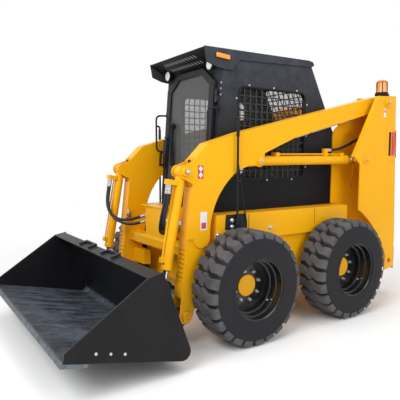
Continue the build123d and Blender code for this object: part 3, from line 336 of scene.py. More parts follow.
# --- finishes
class Surface:
    """A material's node tree, with its Principled shader and its output."""

    def __init__(self, name: str) -> None:
        """Starts a material with a Principled shader.

        Args:
            name: the material's name.
        """
        self.material = bpy.data.materials.new(name)
        self.material.use_nodes = True
        self.tree = self.material.node_tree
        self.tree.nodes.clear()
        self.shader = self.tree.nodes.new("ShaderNodeBsdfPrincipled")
        self.output = self.tree.nodes.new("ShaderNodeOutputMaterial")
        self.tree.links.new(self.shader.outputs[0], self.output.inputs[0])

    def group(self, tree: Tree, **values: object) -> Node:
        """Places a shader group.

        Args:
            tree: the group.
            values: its inputs' values; underscores stand for spaces.

        Returns:
            The group's node.
        """
        made = self.tree.nodes.new("ShaderNodeGroup")
        made.node_tree = tree
        for key, value in values.items():
            made.inputs[key.replace("_", " ")].default_value = value
        return made

    def tones(self, first: Colour, second: Colour, scale: float, amount: float) -> Node:
        """Places the mottle of two tones.

        Args:
            first: the main tone.
            second: the tone that breaks it up.
            scale: fineness of the mottle.
            amount: how far the second tone shows.

        Returns:
            The group's node.
        """
        return self.group(EFFECTS.mottle, Tone_A=(*first, 1), Tone_B=(*second, 1), Scale=scale, Amount=amount)

    def set(self, **values: object) -> None:
        """Sets constants on the shader's own sockets."""
        for key, value in values.items():
            self.shader.inputs[key.replace("_", " ")].default_value = value

    def feed(self, source: Socket, socket: str) -> None:
        """Links a socket to one of the shader's inputs."""
        self.tree.links.new(source, self.shader.inputs[socket])

    def mix(self, share: Socket, first: object, second: object) -> Socket:
        """A mix of two colours.

        Args:
            share: how much of the second colour shows.
            first: a socket or a colour.
            second: the same.

        Returns:
            The mixed colour.
        """
        made = self.tree.nodes.new("ShaderNodeMix")
        made.data_type = "RGBA"
        self.tree.links.new(share, made.inputs[0])
        for index, value in ((6, first), (7, second)):
            if isinstance(value, Socket):
                self.tree.links.new(value, made.inputs[index])
            else:
                made.inputs[index].default_value = (*value, 1)
        return made.outputs[2]

    def ramp(self, source: Socket, low: float, high: float) -> Socket:
        """Maps a 0 to 1 value to a stretch of values.

        Args:
            source: the value.
            low: the result at 0.
            high: the result at 1.

        Returns:
            The mapped value.
        """
        made = self.tree.nodes.new("ShaderNodeMapRange")
        made.inputs["To Min"].default_value = low
        made.inputs["To Max"].default_value = high
        self.tree.links.new(source, made.inputs["Value"])
        return made.outputs["Result"]

    def bump(self, grain: Node, distance: float, strength: float, edge: Optional[Node] = None) -> None:
        """Feeds the shader's normal with a grain over softened edges.

        Args:
            grain: the grain group's node.
            distance: height of the grain.
            strength: how strongly it shows.
            edge: the edge group's node, if the edges are softened.
        """
        made = self.tree.nodes.new("ShaderNodeBump")
        made.inputs["Strength"].default_value = strength
        made.inputs["Distance"].default_value = distance
        self.tree.links.new(grain.outputs["Height"], made.inputs["Height"])
        if edge is not None:
            self.tree.links.new(edge.outputs["Normal"], made.inputs["Normal"])
        self.feed(made.outputs["Normal"], "Normal")


@dataclass(frozen=True)
class Paint:
    """Sprayed enamel on steel: two close tones, orange peel, softened edges made lighter by wear and a
    painted highlight, and low dust; on the cab the dust fields paint a reflection high up instead.
    """

    name: str
    tone: Colour
    shade: Colour
    bare: Colour
    roughness: float = 0.32
    coat: float = 0.25
    peel: float = 0.12
    # wear and bare make edges lighter: part wear, part painted highlight along the edges
    wear: float = 1.2
    gloss: float = 0.3
    # dust on most enamels; on the cab these fields paint a reflection that is lighter towards the roof
    dust_and_sheen: float = 0.35
    dust_and_sheen_low: float = 0.0
    dust_and_sheen_top: float = 0.7
    dust_and_sheen_rough: float = 0.8
    dust_and_sheen_tone: Colour = (0.32, 0.27, 0.21)

    def material(self) -> Material:
        """Builds the enamel's material.

        Returns:
            The material.
        """
        s = Surface(self.name)
        mottle = s.tones(self.tone, self.shade, 3.2, 0.8)
        edge = s.group(EFFECTS.edge, Radius=0.0035, Grit=60.0, Strength=self.wear)
        # dust mask, which on the cab is a painted reflection high up
        dust_and_sheen = s.group(EFFECTS.dust_and_sheen, Low=self.dust_and_sheen_low, High=self.dust_and_sheen_top, Amount=self.dust_and_sheen, Scale=11.0)
        grain = s.group(EFFECTS.grain, Scale=260.0, Cells=0.0)
        # lighter edges: part wear, part painted highlight
        worn_and_highlit = s.mix(edge.outputs["Mask"], mottle.outputs["Colour"], self.bare)
        s.feed(s.mix(dust_and_sheen.outputs["Mask"], worn_and_highlit, self.dust_and_sheen_tone), "Base Color")
        s.feed(s.ramp(dust_and_sheen.outputs["Mask"], self.roughness, self.dust_and_sheen_rough), "Roughness")
        s.set(Coat_Weight=self.coat, Coat_Roughness=0.12, Specular_IOR_Level=self.gloss)
        s.bump(grain, 0.0006, self.peel, edge)
        return s.material


@dataclass(frozen=True)
class Metal:
    """Plain metal: plated, chromed or cast, with a fine grain and softened edges."""

    name: str
    tone: Colour
    shade: Colour
    roughness: float = 0.28
    metallic: float = 1.0
    grain: float = 0.05
    grain_scale: float = 500.0

    def material(self) -> Material:
        """Builds the metal's material.

        Returns:
            The material.
        """
        s = Surface(self.name)
        mottle = s.tones(self.tone, self.shade, 38.0, 0.9)
        grain = s.group(EFFECTS.grain, Scale=self.grain_scale, Cells=0.0)
        edge = s.group(EFFECTS.edge, Radius=0.0012, Grit=90.0, Strength=0.0)
        s.feed(mottle.outputs["Colour"], "Base Color")
        s.feed(s.ramp(mottle.outputs["Mask"], self.roughness, self.roughness + 0.14), "Roughness")
        s.set(Metallic=self.metallic)
        s.bump(grain, 0.0004, self.grain, edge)
        return s.material


@dataclass(frozen=True)
class Rubber:
    """Moulded rubber with a dusty bloom on it."""

    name: str
    tone: Colour
    bloom: Colour
    roughness: float = 0.62
    bloom_share: float = 0.6
    grain_scale: float = 420.0
    relief: float = 0.25
    edge: float = 0.004
    gloss: float = 0.3

    def material(self) -> Material:
        """Builds the rubber's material.

        Returns:
            The material.
        """
        s = Surface(self.name)
        mottle = s.tones(self.tone, self.bloom, 7.0, self.bloom_share)
        edge = s.group(EFFECTS.edge, Radius=self.edge, Grit=70.0, Strength=0.9)
        grain = s.group(EFFECTS.grain, Scale=self.grain_scale, Cells=0.35)
        s.feed(s.mix(edge.outputs["Mask"], mottle.outputs["Colour"], self.bloom), "Base Color")
        s.feed(s.ramp(mottle.outputs["Mask"], self.roughness, self.roughness + 0.16), "Roughness")
        s.set(Specular_IOR_Level=self.gloss)
        s.bump(grain, 0.0007, self.relief, edge)
        return s.material


@dataclass(frozen=True)
class WornPaint:
    """Black enamel scraped to bluish steel low down, as inside a used bucket."""

    name: str
    tone: Colour
    shade: Colour
    steel: Colour
    low: float
    high: float

    def material(self) -> Material:
        """Builds the worn enamel's material.

        Returns:
            The material.
        """
        s = Surface(self.name)
        mottle = s.tones(self.tone, self.shade, 4.0, 0.7)
        edge = s.group(EFFECTS.edge, Radius=0.004, Grit=45.0, Strength=2.4)
        scrape = s.group(EFFECTS.scrape, Scale=4.2, Low=self.low, High=self.high, Amount=1.0)
        fine = s.group(EFFECTS.scrape, Scale=26.0, Low=self.low, High=self.high + 0.05, Amount=0.5)
        grain = s.group(EFFECTS.grain, Scale=220.0, Cells=0.0)
        scraped = s.mix(scrape.outputs["Mask"], mottle.outputs["Colour"], self.steel)
        streaked = s.mix(fine.outputs["Mask"], scraped, self.steel)
        s.feed(s.mix(edge.outputs["Mask"], streaked, self.steel), "Base Color")
        s.feed(s.ramp(scrape.outputs["Mask"], 0.38, 0.5), "Roughness")
        s.set(Specular_IOR_Level=0.16)
        s.bump(grain, 0.0008, 0.2, edge)
        return s.material


@dataclass(frozen=True)
class Glass:
    """Tinted safety glass with a faint film of dust."""

    name: str
    tint: Colour
    film: Colour
    share: float = 0.12
    cover: float = 0.16

    def material(self) -> Material:
        """Builds the glass's material.

        Returns:
            The material.
        """
        s = Surface(self.name)
        dust_and_sheen = s.group(EFFECTS.dust_and_sheen, Low=0.9, High=2.6, Amount=0.5, Scale=3.0)
        mottle = s.tones(self.tint, self.film, 2.5, self.share)
        grain = s.group(EFFECTS.grain, Scale=3.0, Cells=0.0)
        s.feed(mottle.outputs["Colour"], "Base Color")
        s.set(Transmission_Weight=0.0, Roughness=0.02, Specular_IOR_Level=0.35, Metallic=0.0)
        s.feed(s.ramp(dust_and_sheen.outputs["Mask"], self.cover, self.cover + 0.25), "Alpha")
        s.bump(grain, 0.0002, 0.01)
        return s.material


@dataclass(frozen=True)
class Lens:
    """Coloured lamp plastic, moulded with fine ribs."""

    name: str
    tone: Colour
    deep: Colour
    glow: float = 0.12
    ribs: float = 260.0

    def material(self) -> Material:
        """Builds the lens's material.

        Returns:
            The material.
        """
        s = Surface(self.name)
        mottle = s.tones(self.tone, self.deep, 16.0, 0.5)
        grain = s.group(EFFECTS.grain, Scale=self.ribs, Cells=1.0)
        s.feed(mottle.outputs["Colour"], "Base Color")
        s.feed(mottle.outputs["Colour"], "Emission Color")
        s.set(Roughness=0.16, Coat_Weight=0.6, Coat_Roughness=0.04, Emission_Strength=self.glow)
        s.bump(grain, 0.0012, 0.5)
        return s.material


@dataclass(frozen=True)
class Cover:
    """Seat cover or moulded plastic with a leather-like grain."""

    name: str
    tone: Colour
    shade: Colour
    roughness: float = 0.5
    scale: float = 240.0
    relief: float = 0.45

    def material(self) -> Material:
        """Builds the grained material.

        Returns:
            The material.
        """
        s = Surface(self.name)
        mottle = s.tones(self.tone, self.shade, 9.0, 0.8)
        grain = s.group(EFFECTS.grain, Scale=self.scale, Cells=0.8)
        edge = s.group(EFFECTS.edge, Radius=0.003, Grit=50.0, Strength=0.6)
        s.feed(s.mix(edge.outputs["Mask"], mottle.outputs["Colour"], self.shade), "Base Color")
        s.feed(s.ramp(grain.outputs["Height"], self.roughness - 0.08, self.roughness + 0.12), "Roughness")
        s.bump(grain, 0.0008, self.relief, edge)
        return s.material


@dataclass(frozen=True)
class Finishes:
    """Every finish of the machine, built once."""

    yellow: Material
    black: Material
    cab: Material
    mesh: Material
    rim: Material
    bucket: Material
    edge_steel: Material
    cast: Material
    chrome: Material
    plated: Material
    brass: Material
    tyre: Material
    tread: Material
    hose: Material
    seal: Material
    glass: Material
    door_glass: Material
    seat: Material
    console: Material
    amber: Material
    red: Material
    clear: Material
    label: Material
    label_red: Material
    green: Material
    blue: Material

    @classmethod
    def make(cls) -> "Finishes":
        """Builds the materials from their finishes.

        Returns:
            The finishes.
        """
        return cls(
            # the yellow's third colour, lighter than its tones, is a painted highlight along the edges
            yellow=Paint("golden enamel", (0.90, 0.435, 0.005), (0.87, 0.41, 0.004), (0.95, 0.55, 0.04),
                         coat=0.06, wear=0.9, gloss=0.15, dust_and_sheen=0.14, dust_and_sheen_top=0.5).material(),
            black=Paint("black enamel", (0.010, 0.010, 0.011), (0.016, 0.016, 0.017), (0.10, 0.10, 0.10),
                        coat=0.05, roughness=0.42, gloss=0.2, dust_and_sheen=0.2, dust_and_sheen_top=0.5,
                        dust_and_sheen_tone=(0.12, 0.11, 0.10)).material(),
            mesh=Paint("mesh enamel", (0.045, 0.043, 0.042), (0.030, 0.029, 0.028), (0.2, 0.2, 0.2),
                       roughness=0.5, coat=0.0, gloss=0.2, dust_and_sheen=0.3, dust_and_sheen_top=2.0,
                       dust_and_sheen_tone=(0.2, 0.18, 0.15)).material(),
            # the cab's dust-and-sheen runs the other way and paints a reflection: palest at the roof, gone at
            # the foot
            cab=Paint("cab enamel", (0.009, 0.0095, 0.011), (0.007, 0.0075, 0.009), (0.10, 0.11, 0.12),
                      roughness=0.45, coat=0.0, gloss=0.12, dust_and_sheen=1.1, dust_and_sheen_low=2.15, dust_and_sheen_top=1.15,
                      dust_and_sheen_rough=0.5, dust_and_sheen_tone=(0.085, 0.095, 0.115)).material(),
            rim=Paint("rim enamel", (0.006, 0.006, 0.007), (0.010, 0.010, 0.011), (0.14, 0.14, 0.15),
                      roughness=0.22, coat=0.45, gloss=0.3, dust_and_sheen=0.08, dust_and_sheen_top=0.4,
                      dust_and_sheen_tone=(0.1, 0.1, 0.1)).material(),
            bucket=WornPaint("bucket enamel", (0.008, 0.008, 0.009), (0.014, 0.014, 0.016),
                             (0.17, 0.205, 0.25), low=0.10, high=0.36).material(),
            edge_steel=Metal("ground edge", (0.16, 0.18, 0.2), (0.08, 0.09, 0.1), roughness=0.42,
                             metallic=0.7).material(),
            cast=Metal("cast iron", (0.05, 0.05, 0.05), (0.09, 0.085, 0.08), roughness=0.6, metallic=0.4,
                       grain=0.4, grain_scale=160.0).material(),
            chrome=Metal("rod chrome", (0.75, 0.76, 0.78), (0.66, 0.67, 0.7), roughness=0.08,
                         grain=0.01).material(),
            plated=Metal("zinc plate", (0.62, 0.63, 0.65), (0.5, 0.5, 0.52), roughness=0.26).material(),
            brass=Metal("dark brass", (0.30, 0.17, 0.07), (0.2, 0.11, 0.05), roughness=0.35).material(),
            tyre=Rubber("tyre wall", (0.013, 0.013, 0.015), (0.024, 0.024, 0.027), roughness=0.6,
                        gloss=0.2).material(),
            tread=Rubber("tyre tread", (0.066, 0.064, 0.067), (0.130, 0.125, 0.131), roughness=0.66,
                         gloss=0.25).material(),
            hose=Rubber("hose rubber", (0.010, 0.011, 0.014), (0.028, 0.031, 0.040), roughness=0.4,
                        relief=0.12, edge=0.001).material(),
            # black rubber, also used for black patches that paint the shade in openings and slots
            seal=Rubber("black seal", (0.008, 0.008, 0.009), (0.015, 0.015, 0.016), roughness=0.5,
                        edge=0.001, gloss=0.2).material(),
            glass=Glass("cab glass", (0.055, 0.060, 0.062), (0.10, 0.10, 0.098)).material(),
            door_glass=Glass("door glass", (0.150, 0.155, 0.155), (0.22, 0.20, 0.18), cover=0.32).material(),
            seat=Cover("seat vinyl", (0.014, 0.014, 0.015), (0.03, 0.03, 0.03)).material(),
            console=Cover("console plastic", (0.03, 0.03, 0.032), (0.05, 0.05, 0.052), scale=420.0,
                          relief=0.2).material(),
            amber=Lens("amber lens", (0.92, 0.30, 0.015), (0.80, 0.17, 0.006)).material(),
            red=Lens("red lens", (0.62, 0.012, 0.008), (0.4, 0.006, 0.004)).material(),
            clear=Lens("lamp lens", (0.72, 0.74, 0.76), (0.55, 0.57, 0.6), glow=0.05).material(),
            label=Cover("label white", (0.80, 0.80, 0.81), (0.68, 0.68, 0.69), roughness=0.35,
                        relief=0.05).material(),
            label_red=Cover("label red", (0.60, 0.05, 0.06), (0.5, 0.04, 0.05), roughness=0.35,
                            relief=0.05).material(),
            green=Cover("green plastic", (0.02, 0.30, 0.12), (0.02, 0.2, 0.09), roughness=0.4,
                        relief=0.1).material(),
            blue=Cover("blue plastic", (0.02, 0.06, 0.25), (0.02, 0.04, 0.16), roughness=0.4,
                       relief=0.1).material(),
        )


FINISH: Finishes = Finishes.make()


# --- mesh forms
def moved(x: float, y: float, z: float) -> Matrix:
    """A move by x, y and z."""
    return Matrix.Translation((x, y, z))


def aim(at: Point, direction: Point) -> Matrix:
    """A placement whose local +Z looks along a direction.

    Args:
        at: the origin.
        direction: where local +Z goes.

    Returns:
        The placement matrix.
    """
    return Matrix.Translation(at) @ Vector(direction).to_track_quat("Z", "Y").to_matrix().to_4x4()


def plate_place(at: Point, across: Point, normal: Point) -> Matrix:
    """A placement of a plate that lies on a face.

    Args:
        at: the origin.
        across: where local +X goes, as far as the normal allows.
        normal: where local +Z goes.

    Returns:
        The placement matrix.
    """
    z = Vector(normal).normalized()
    x = Vector(across)
    x = (x - z * x.dot(z)).normalized()
    return Matrix.Translation(at) @ Matrix((x, z.cross(x), z)).transposed().to_4x4()


def ring_outline(width: float, height: float, corner: float, steps: int = 8) -> List[Pair]:
    """A rectangle with rounded corners round the origin.

    Args:
        width: its size along X.
        height: its size along Y.
        corner: radius of its corners.
        steps: points in each corner.

    Returns:
        The outline's points.
    """
    points: List[Pair] = []
    for quarter, (sx, sy) in enumerate(((1, 1), (-1, 1), (-1, -1), (1, -1))):
        for step in range(steps):
            turn = (quarter + step / (steps - 1)) * math.pi / 2
            points.append((sx * (width / 2 - corner) + corner * math.cos(turn),
                           sy * (height / 2 - corner) + corner * math.sin(turn)))
    return points


def bands(rows: int, count: int, ring: bool = False) -> List[Face]:
    """Faces between rows of points, each row closed round.

    Args:
        rows: how many rows there are.
        count: points in a row.
        ring: whether the last row joins the first.

    Returns:
        The faces.
    """
    faces: List[Face] = []
    for row in range(rows if ring else rows - 1):
        after = (row + 1) % rows
        for i in range(count):
            j = (i + 1) % count
            faces.append((row * count + i, row * count + j, after * count + j, after * count + i))
    return faces


def caps(rows: int, count: int) -> List[Face]:
    """The faces that close the first and the last row."""
    return [tuple(range(count))[::-1], tuple(range((rows - 1) * count, rows * count))]


class Shape:
    """Vertices and faces of one piece, gathered from repeated forms."""

    def __init__(self) -> None:
        """Starts an empty shape."""
        self.points: List[Vector] = []
        self.faces: List[Face] = []

    def add(self, points: Iterable[Sequence[float]], faces: Iterable[Sequence[int]],
            place: Optional[Matrix] = None) -> None:
        """Adds vertices and faces.

        Args:
            points: the vertices.
            faces: the faces, as indices of these vertices.
            place: where they go; a mirrored placement turns the faces over.
        """
        start = len(self.points)
        spot = place if place is not None else Matrix.Identity(4)
        flip = spot.determinant() < 0
        self.points += [spot @ Vector(p) for p in points]
        for face in faces:
            order = tuple(start + i for i in face)
            self.faces.append(order[::-1] if flip else order)

    def lathe(self, profile: Sequence[Pair], place: Matrix, segments: int = 32) -> None:
        """Turns a profile about local Z.

        Args:
            profile: pairs of radius and height; an end at radius 0 closes it.
            place: the turned form's placement.
            segments: steps round the axis.
        """
        points: List[Point] = []
        rows: List[List[int]] = []
        for radius, height in profile:
            if radius <= 1e-7:
                rows.append([len(points)] * segments)
                points.append((0.0, 0.0, height))
                continue
            rows.append(list(range(len(points), len(points) + segments)))
            for step in range(segments):
                turn = 2 * math.pi * step / segments
                points.append((radius * math.cos(turn), radius * math.sin(turn), height))
        faces: List[Face] = []
        for low, high in zip(rows, rows[1:]):
            for step in range(segments):
                after = (step + 1) % segments
                face = tuple(dict.fromkeys((low[step], low[after], high[after], high[step])))
                if len(face) > 2:
                    faces.append(face)
        self.add(points, faces, place)

    def prism(self, outline: Sequence[Pair], height: float, place: Matrix, edge: float = 0.0) -> None:
        """Raises an outline along local Z.

        Args:
            outline: its points on local X and Y.
            height: how far it is raised.
            place: its placement.
            edge: size of a chamfer round its top.
        """
        count = len(outline)
        middle = (sum(p[0] for p in outline) / count, sum(p[1] for p in outline) / count)
        levels = [(0.0, 0.0), (height - edge, 0.0)] + ([(height, edge)] if edge else [])
        points: List[Point] = []
        for level, inset in levels:
            for x, y in outline:
                away = math.hypot(x - middle[0], y - middle[1]) or 1.0
                share = 1 - inset / away
                points.append((middle[0] + (x - middle[0]) * share, middle[1] + (y - middle[1]) * share,
                               level))
        self.add(points, bands(len(levels), count) + caps(len(levels), count), place)

    def tube(self, route: Sequence[Point], radius: float, segments: int = 12) -> None:
        """A closed tube through points, its section carried along without twist.

        Args:
            route: the points.
            radius: half the tube's diameter.
            segments: sides of its section.
        """
        line = [Vector(p) for p in route]
        ahead = [(b - a).normalized() for a, b in zip(line, line[1:])]
        tangents = [ahead[0]] + [(a + b).normalized() for a, b in zip(ahead, ahead[1:])] + [ahead[-1]]
        side = tangents[0].orthogonal().normalized()
        points: List[Vector] = []
        for at, along in zip(line, tangents):
            side = (side - along * side.dot(along)).normalized()
            other = along.cross(side)
            for step in range(segments):
                turn = 2 * math.pi * step / segments
                points.append(at + (side * math.cos(turn) + other * math.sin(turn)) * radius)
        self.add(points, bands(len(line), segments) + caps(len(line), segments))

    def loft(self, rings: Sequence[Sequence[Point]], place: Optional[Matrix] = None) -> None:
        """Joins rings of equal count into a closed skin.

        Args:
            rings: the rings, each a list of points.
            place: the skin's placement.
        """
        rows, count = len(rings), len(rings[0])
        self.add([p for ring in rings for p in ring], bands(rows, count) + caps(rows, count), place)

    def hexagon(self, size: float, height: float, place: Matrix, edge: float) -> None:
        """A hexagonal block.

        Args:
            size: from its middle to a corner.
            height: how far it is raised.
            place: its placement.
            edge: size of the chamfer round its top.
        """
        turns = [k * math.pi / 3 for k in range(6)]
        self.prism([(size * math.cos(turn), size * math.sin(turn)) for turn in turns], height, place, edge)

    def hex_bolt(self, place: Matrix, size: float, height: float, washer: float = 1.35) -> None:
        """A hexagon head on its washer.

        Args:
            place: its placement on the face.
            size: from its middle to a corner.
            height: the head's height.
            washer: the washer's radius as a share of size.
        """
        self.lathe([(size * washer, 0), (size * washer, height * 0.12), (size * washer * 0.94, height * 0.2),
                    (0, height * 0.2)], place, 24)
        self.hexagon(size, height, place @ moved(0, 0, height * 0.18), size * 0.16)

    def dome_screw(self, place: Matrix, radius: float, height: float) -> None:
        """A domed screw head with a small socket in it.

        Args:
            place: its placement on the face.
            radius: the head's radius.
            height: the head's height.
        """
        self.lathe([(radius, 0), (radius, height * 0.3), (radius * 0.86, height * 0.72),
                    (radius * 0.5, height), (radius * 0.34, height), (radius * 0.3, height * 0.55),
                    (0, height * 0.55)], place, 20)

    def rounded(self, width: float, height: float, depth: float, corner: float, place: Matrix,
                edge: float = 0.001) -> None:
        """A plate with rounded corners, centred on local X and Y and raised along local Z.

        Args:
            width: its size along local X.
            height: its size along local Y.
            depth: how far it is raised.
            corner: radius of its corners.
            place: its placement.
            edge: size of the chamfer round its top.
        """
        self.prism(ring_outline(width, height, corner, 6), depth, place, edge)

    def border(self, inner: Sequence[Pair], outer: Sequence[Pair], height: float, place: Matrix) -> None:
        """A raised border with a rounded top between two outlines.

        Args:
            inner: the inner outline.
            outer: the outer outline, with as many points.
            height: how far the border stands up.
            place: its placement.
        """
        rows: List[List[Point]] = []
        for share, level in ((0.0, 0.0), (0.0, 0.7), (0.25, 1.0), (0.75, 1.0), (1.0, 0.7), (1.0, 0.0)):
            rows.append([(ox + (ix - ox) * share, oy + (iy - oy) * share, height * level)
                         for (ix, iy), (ox, oy) in zip(inner, outer)])
        self.add([p for row in rows for p in row], bands(len(rows), len(inner), ring=True), place)

    def bead(self, start: Point, end: Point, radius: float) -> None:
        """A weld bead whose thickness swells along its ripples.

        Args:
            start: one end of the weld.
            end: its other end.
            radius: half its thickness.
        """
        a, b = Vector(start), Vector(end)
        length = (b - a).length
        count = max(4, int(length / (radius * 1.1)))
        profile = [(0.0, 0.0)]
        for step in range(count + 1):
            profile.append((radius * (0.86 + 0.14 * (step % 2)), length * step / count))
        self.lathe(profile + [(0.0, length)], aim(start, tuple(b - a)), 8)

    def build(self, name: str, finish: Material, slot: Slot, body: str = Body.MACHINE.value,
              angle: float = 35.0) -> Piece:
        """Makes the piece, dresses it and lets it ride.

        Args:
            name: the piece's name.
            finish: its material.
            slot: the record's slot; not used.
            body: the body that it rides on.
            angle: edges sharper than this stay sharp, in degrees.

        Returns:
            The new object.
        """
        mesh = bpy.data.meshes.new(name)
        mesh.from_pydata([tuple(p) for p in self.points], [], self.faces)
        mesh.validate()
        mesh.shade_smooth()
        mesh.set_sharp_from_angle(angle=math.radians(angle))
        mesh.materials.append(finish)
        piece = bpy.data.objects.new(name, mesh)
        bpy.context.scene.collection.objects.link(piece)
        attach(piece, body)
        log.info("piece %s on %s: %d faces", name, body, len(self.faces))
        return piece


def curve_piece(name: str, route: Sequence[Point], radius: float, finish: Material,
                body: str) -> Piece:
    """A round tube along a NURBS spline of order 3 that ends at its end points.

    Args:
        name: the piece's name.
        route: the spline's control points.
        radius: half the tube's diameter.
        finish: its material.
        body: the body that it rides on.

    Returns:
        The curve object.
    """
    data = bpy.data.curves.new(name, "CURVE")
    data.dimensions = "3D"
    data.bevel_depth = radius
    data.bevel_resolution = 5
    data.resolution_u = 12
    data.use_fill_caps = True
    spline = data.splines.new("NURBS")
    spline.points.add(len(route) - 1)
    for point, at in zip(spline.points, route):
        point.co = (*at, 1)
    spline.order_u = 3
    spline.use_endpoint_u = True
    data.materials.append(finish)
    piece = bpy.data.objects.new(name, data)
    bpy.context.scene.collection.objects.link(piece)
    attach(piece, body)
    log.info("cord %s on %s: %d control points", name, body, len(route))
    return piece


def curve_length(piece: Piece) -> float:
    """Measures a curve piece's own line.

    Args:
        piece: the curve.

    Returns:
        Its length.
    """
    bare = piece.data.copy()
    bare.bevel_depth = 0
    probe = bpy.data.objects.new("probe", bare)
    mesh = bpy.data.meshes.new_from_object(probe)
    points = [v.co.copy() for v in mesh.vertices]
    total = sum((b - a).length for a, b in zip(points, points[1:]))
    bpy.data.objects.remove(probe)
    bpy.data.meshes.remove(mesh)
    return total


def dress(names: Iterable[str], finish: Material) -> None:
    """Gives frame nodes their finish.

    Args:
        names: the nodes.
        finish: their material.
    """
    for name in names:
        data = frame["nodes"][name].data
        data.materials.clear()
        data.materials.append(finish)


def skin(node: str, start: Point, towards: Point, lift: float = 0.0) -> Matrix:
    """A placement on a frame node's surface.

    Args:
        node: the frame node.
        start: where the search starts, outside the node.
        towards: the direction of the search.
        lift: distance of the placement above the surface.

    Returns:
        A placement whose local +Z is the surface's own direction, or one at start if nothing is met.
    """
    hit, at, normal, _ = frame["nodes"][node].ray_cast(Vector(start), Vector(towards).normalized())
    if not hit:
        log.warning("nothing of %s met from %s", node, start)
        return aim(start, tuple(-Vector(towards)))
    if normal.dot(Vector(towards)) > 0:
        normal = -normal
    across = Vector((0, 1, 0)) if abs(normal.y) < 0.9 else Vector((1, 0, 0))
    return plate_place(tuple(at + normal * lift), tuple(across), tuple(normal))


def bolts(name: str, node: str, starts: Iterable[Point], towards: Point, size: float,
          body: str = Body.MACHINE.value, dome: bool = False) -> Piece:
    """Sets a group of zinc plated bolt heads on a frame node's surface.

    Args:
        name: the piece's name.
        node: the frame node that carries them.
        starts: where each bolt's search starts.
        towards: the direction of the search.
        size: radius of a head.
        body: the body that they ride on.
        dome: domed socket heads in place of hexagons.

    Returns:
        The piece.
    """
    shape = Shape()
    for start in starts:
        place = skin(node, start, towards, -0.0005)
        if dome:
            shape.dome_screw(place, size, size * 0.75)
        else:
            shape.hex_bolt(place, size, size * 0.8)
    return shape.build(name, FINISH.plated, Slot.CHROME, body)


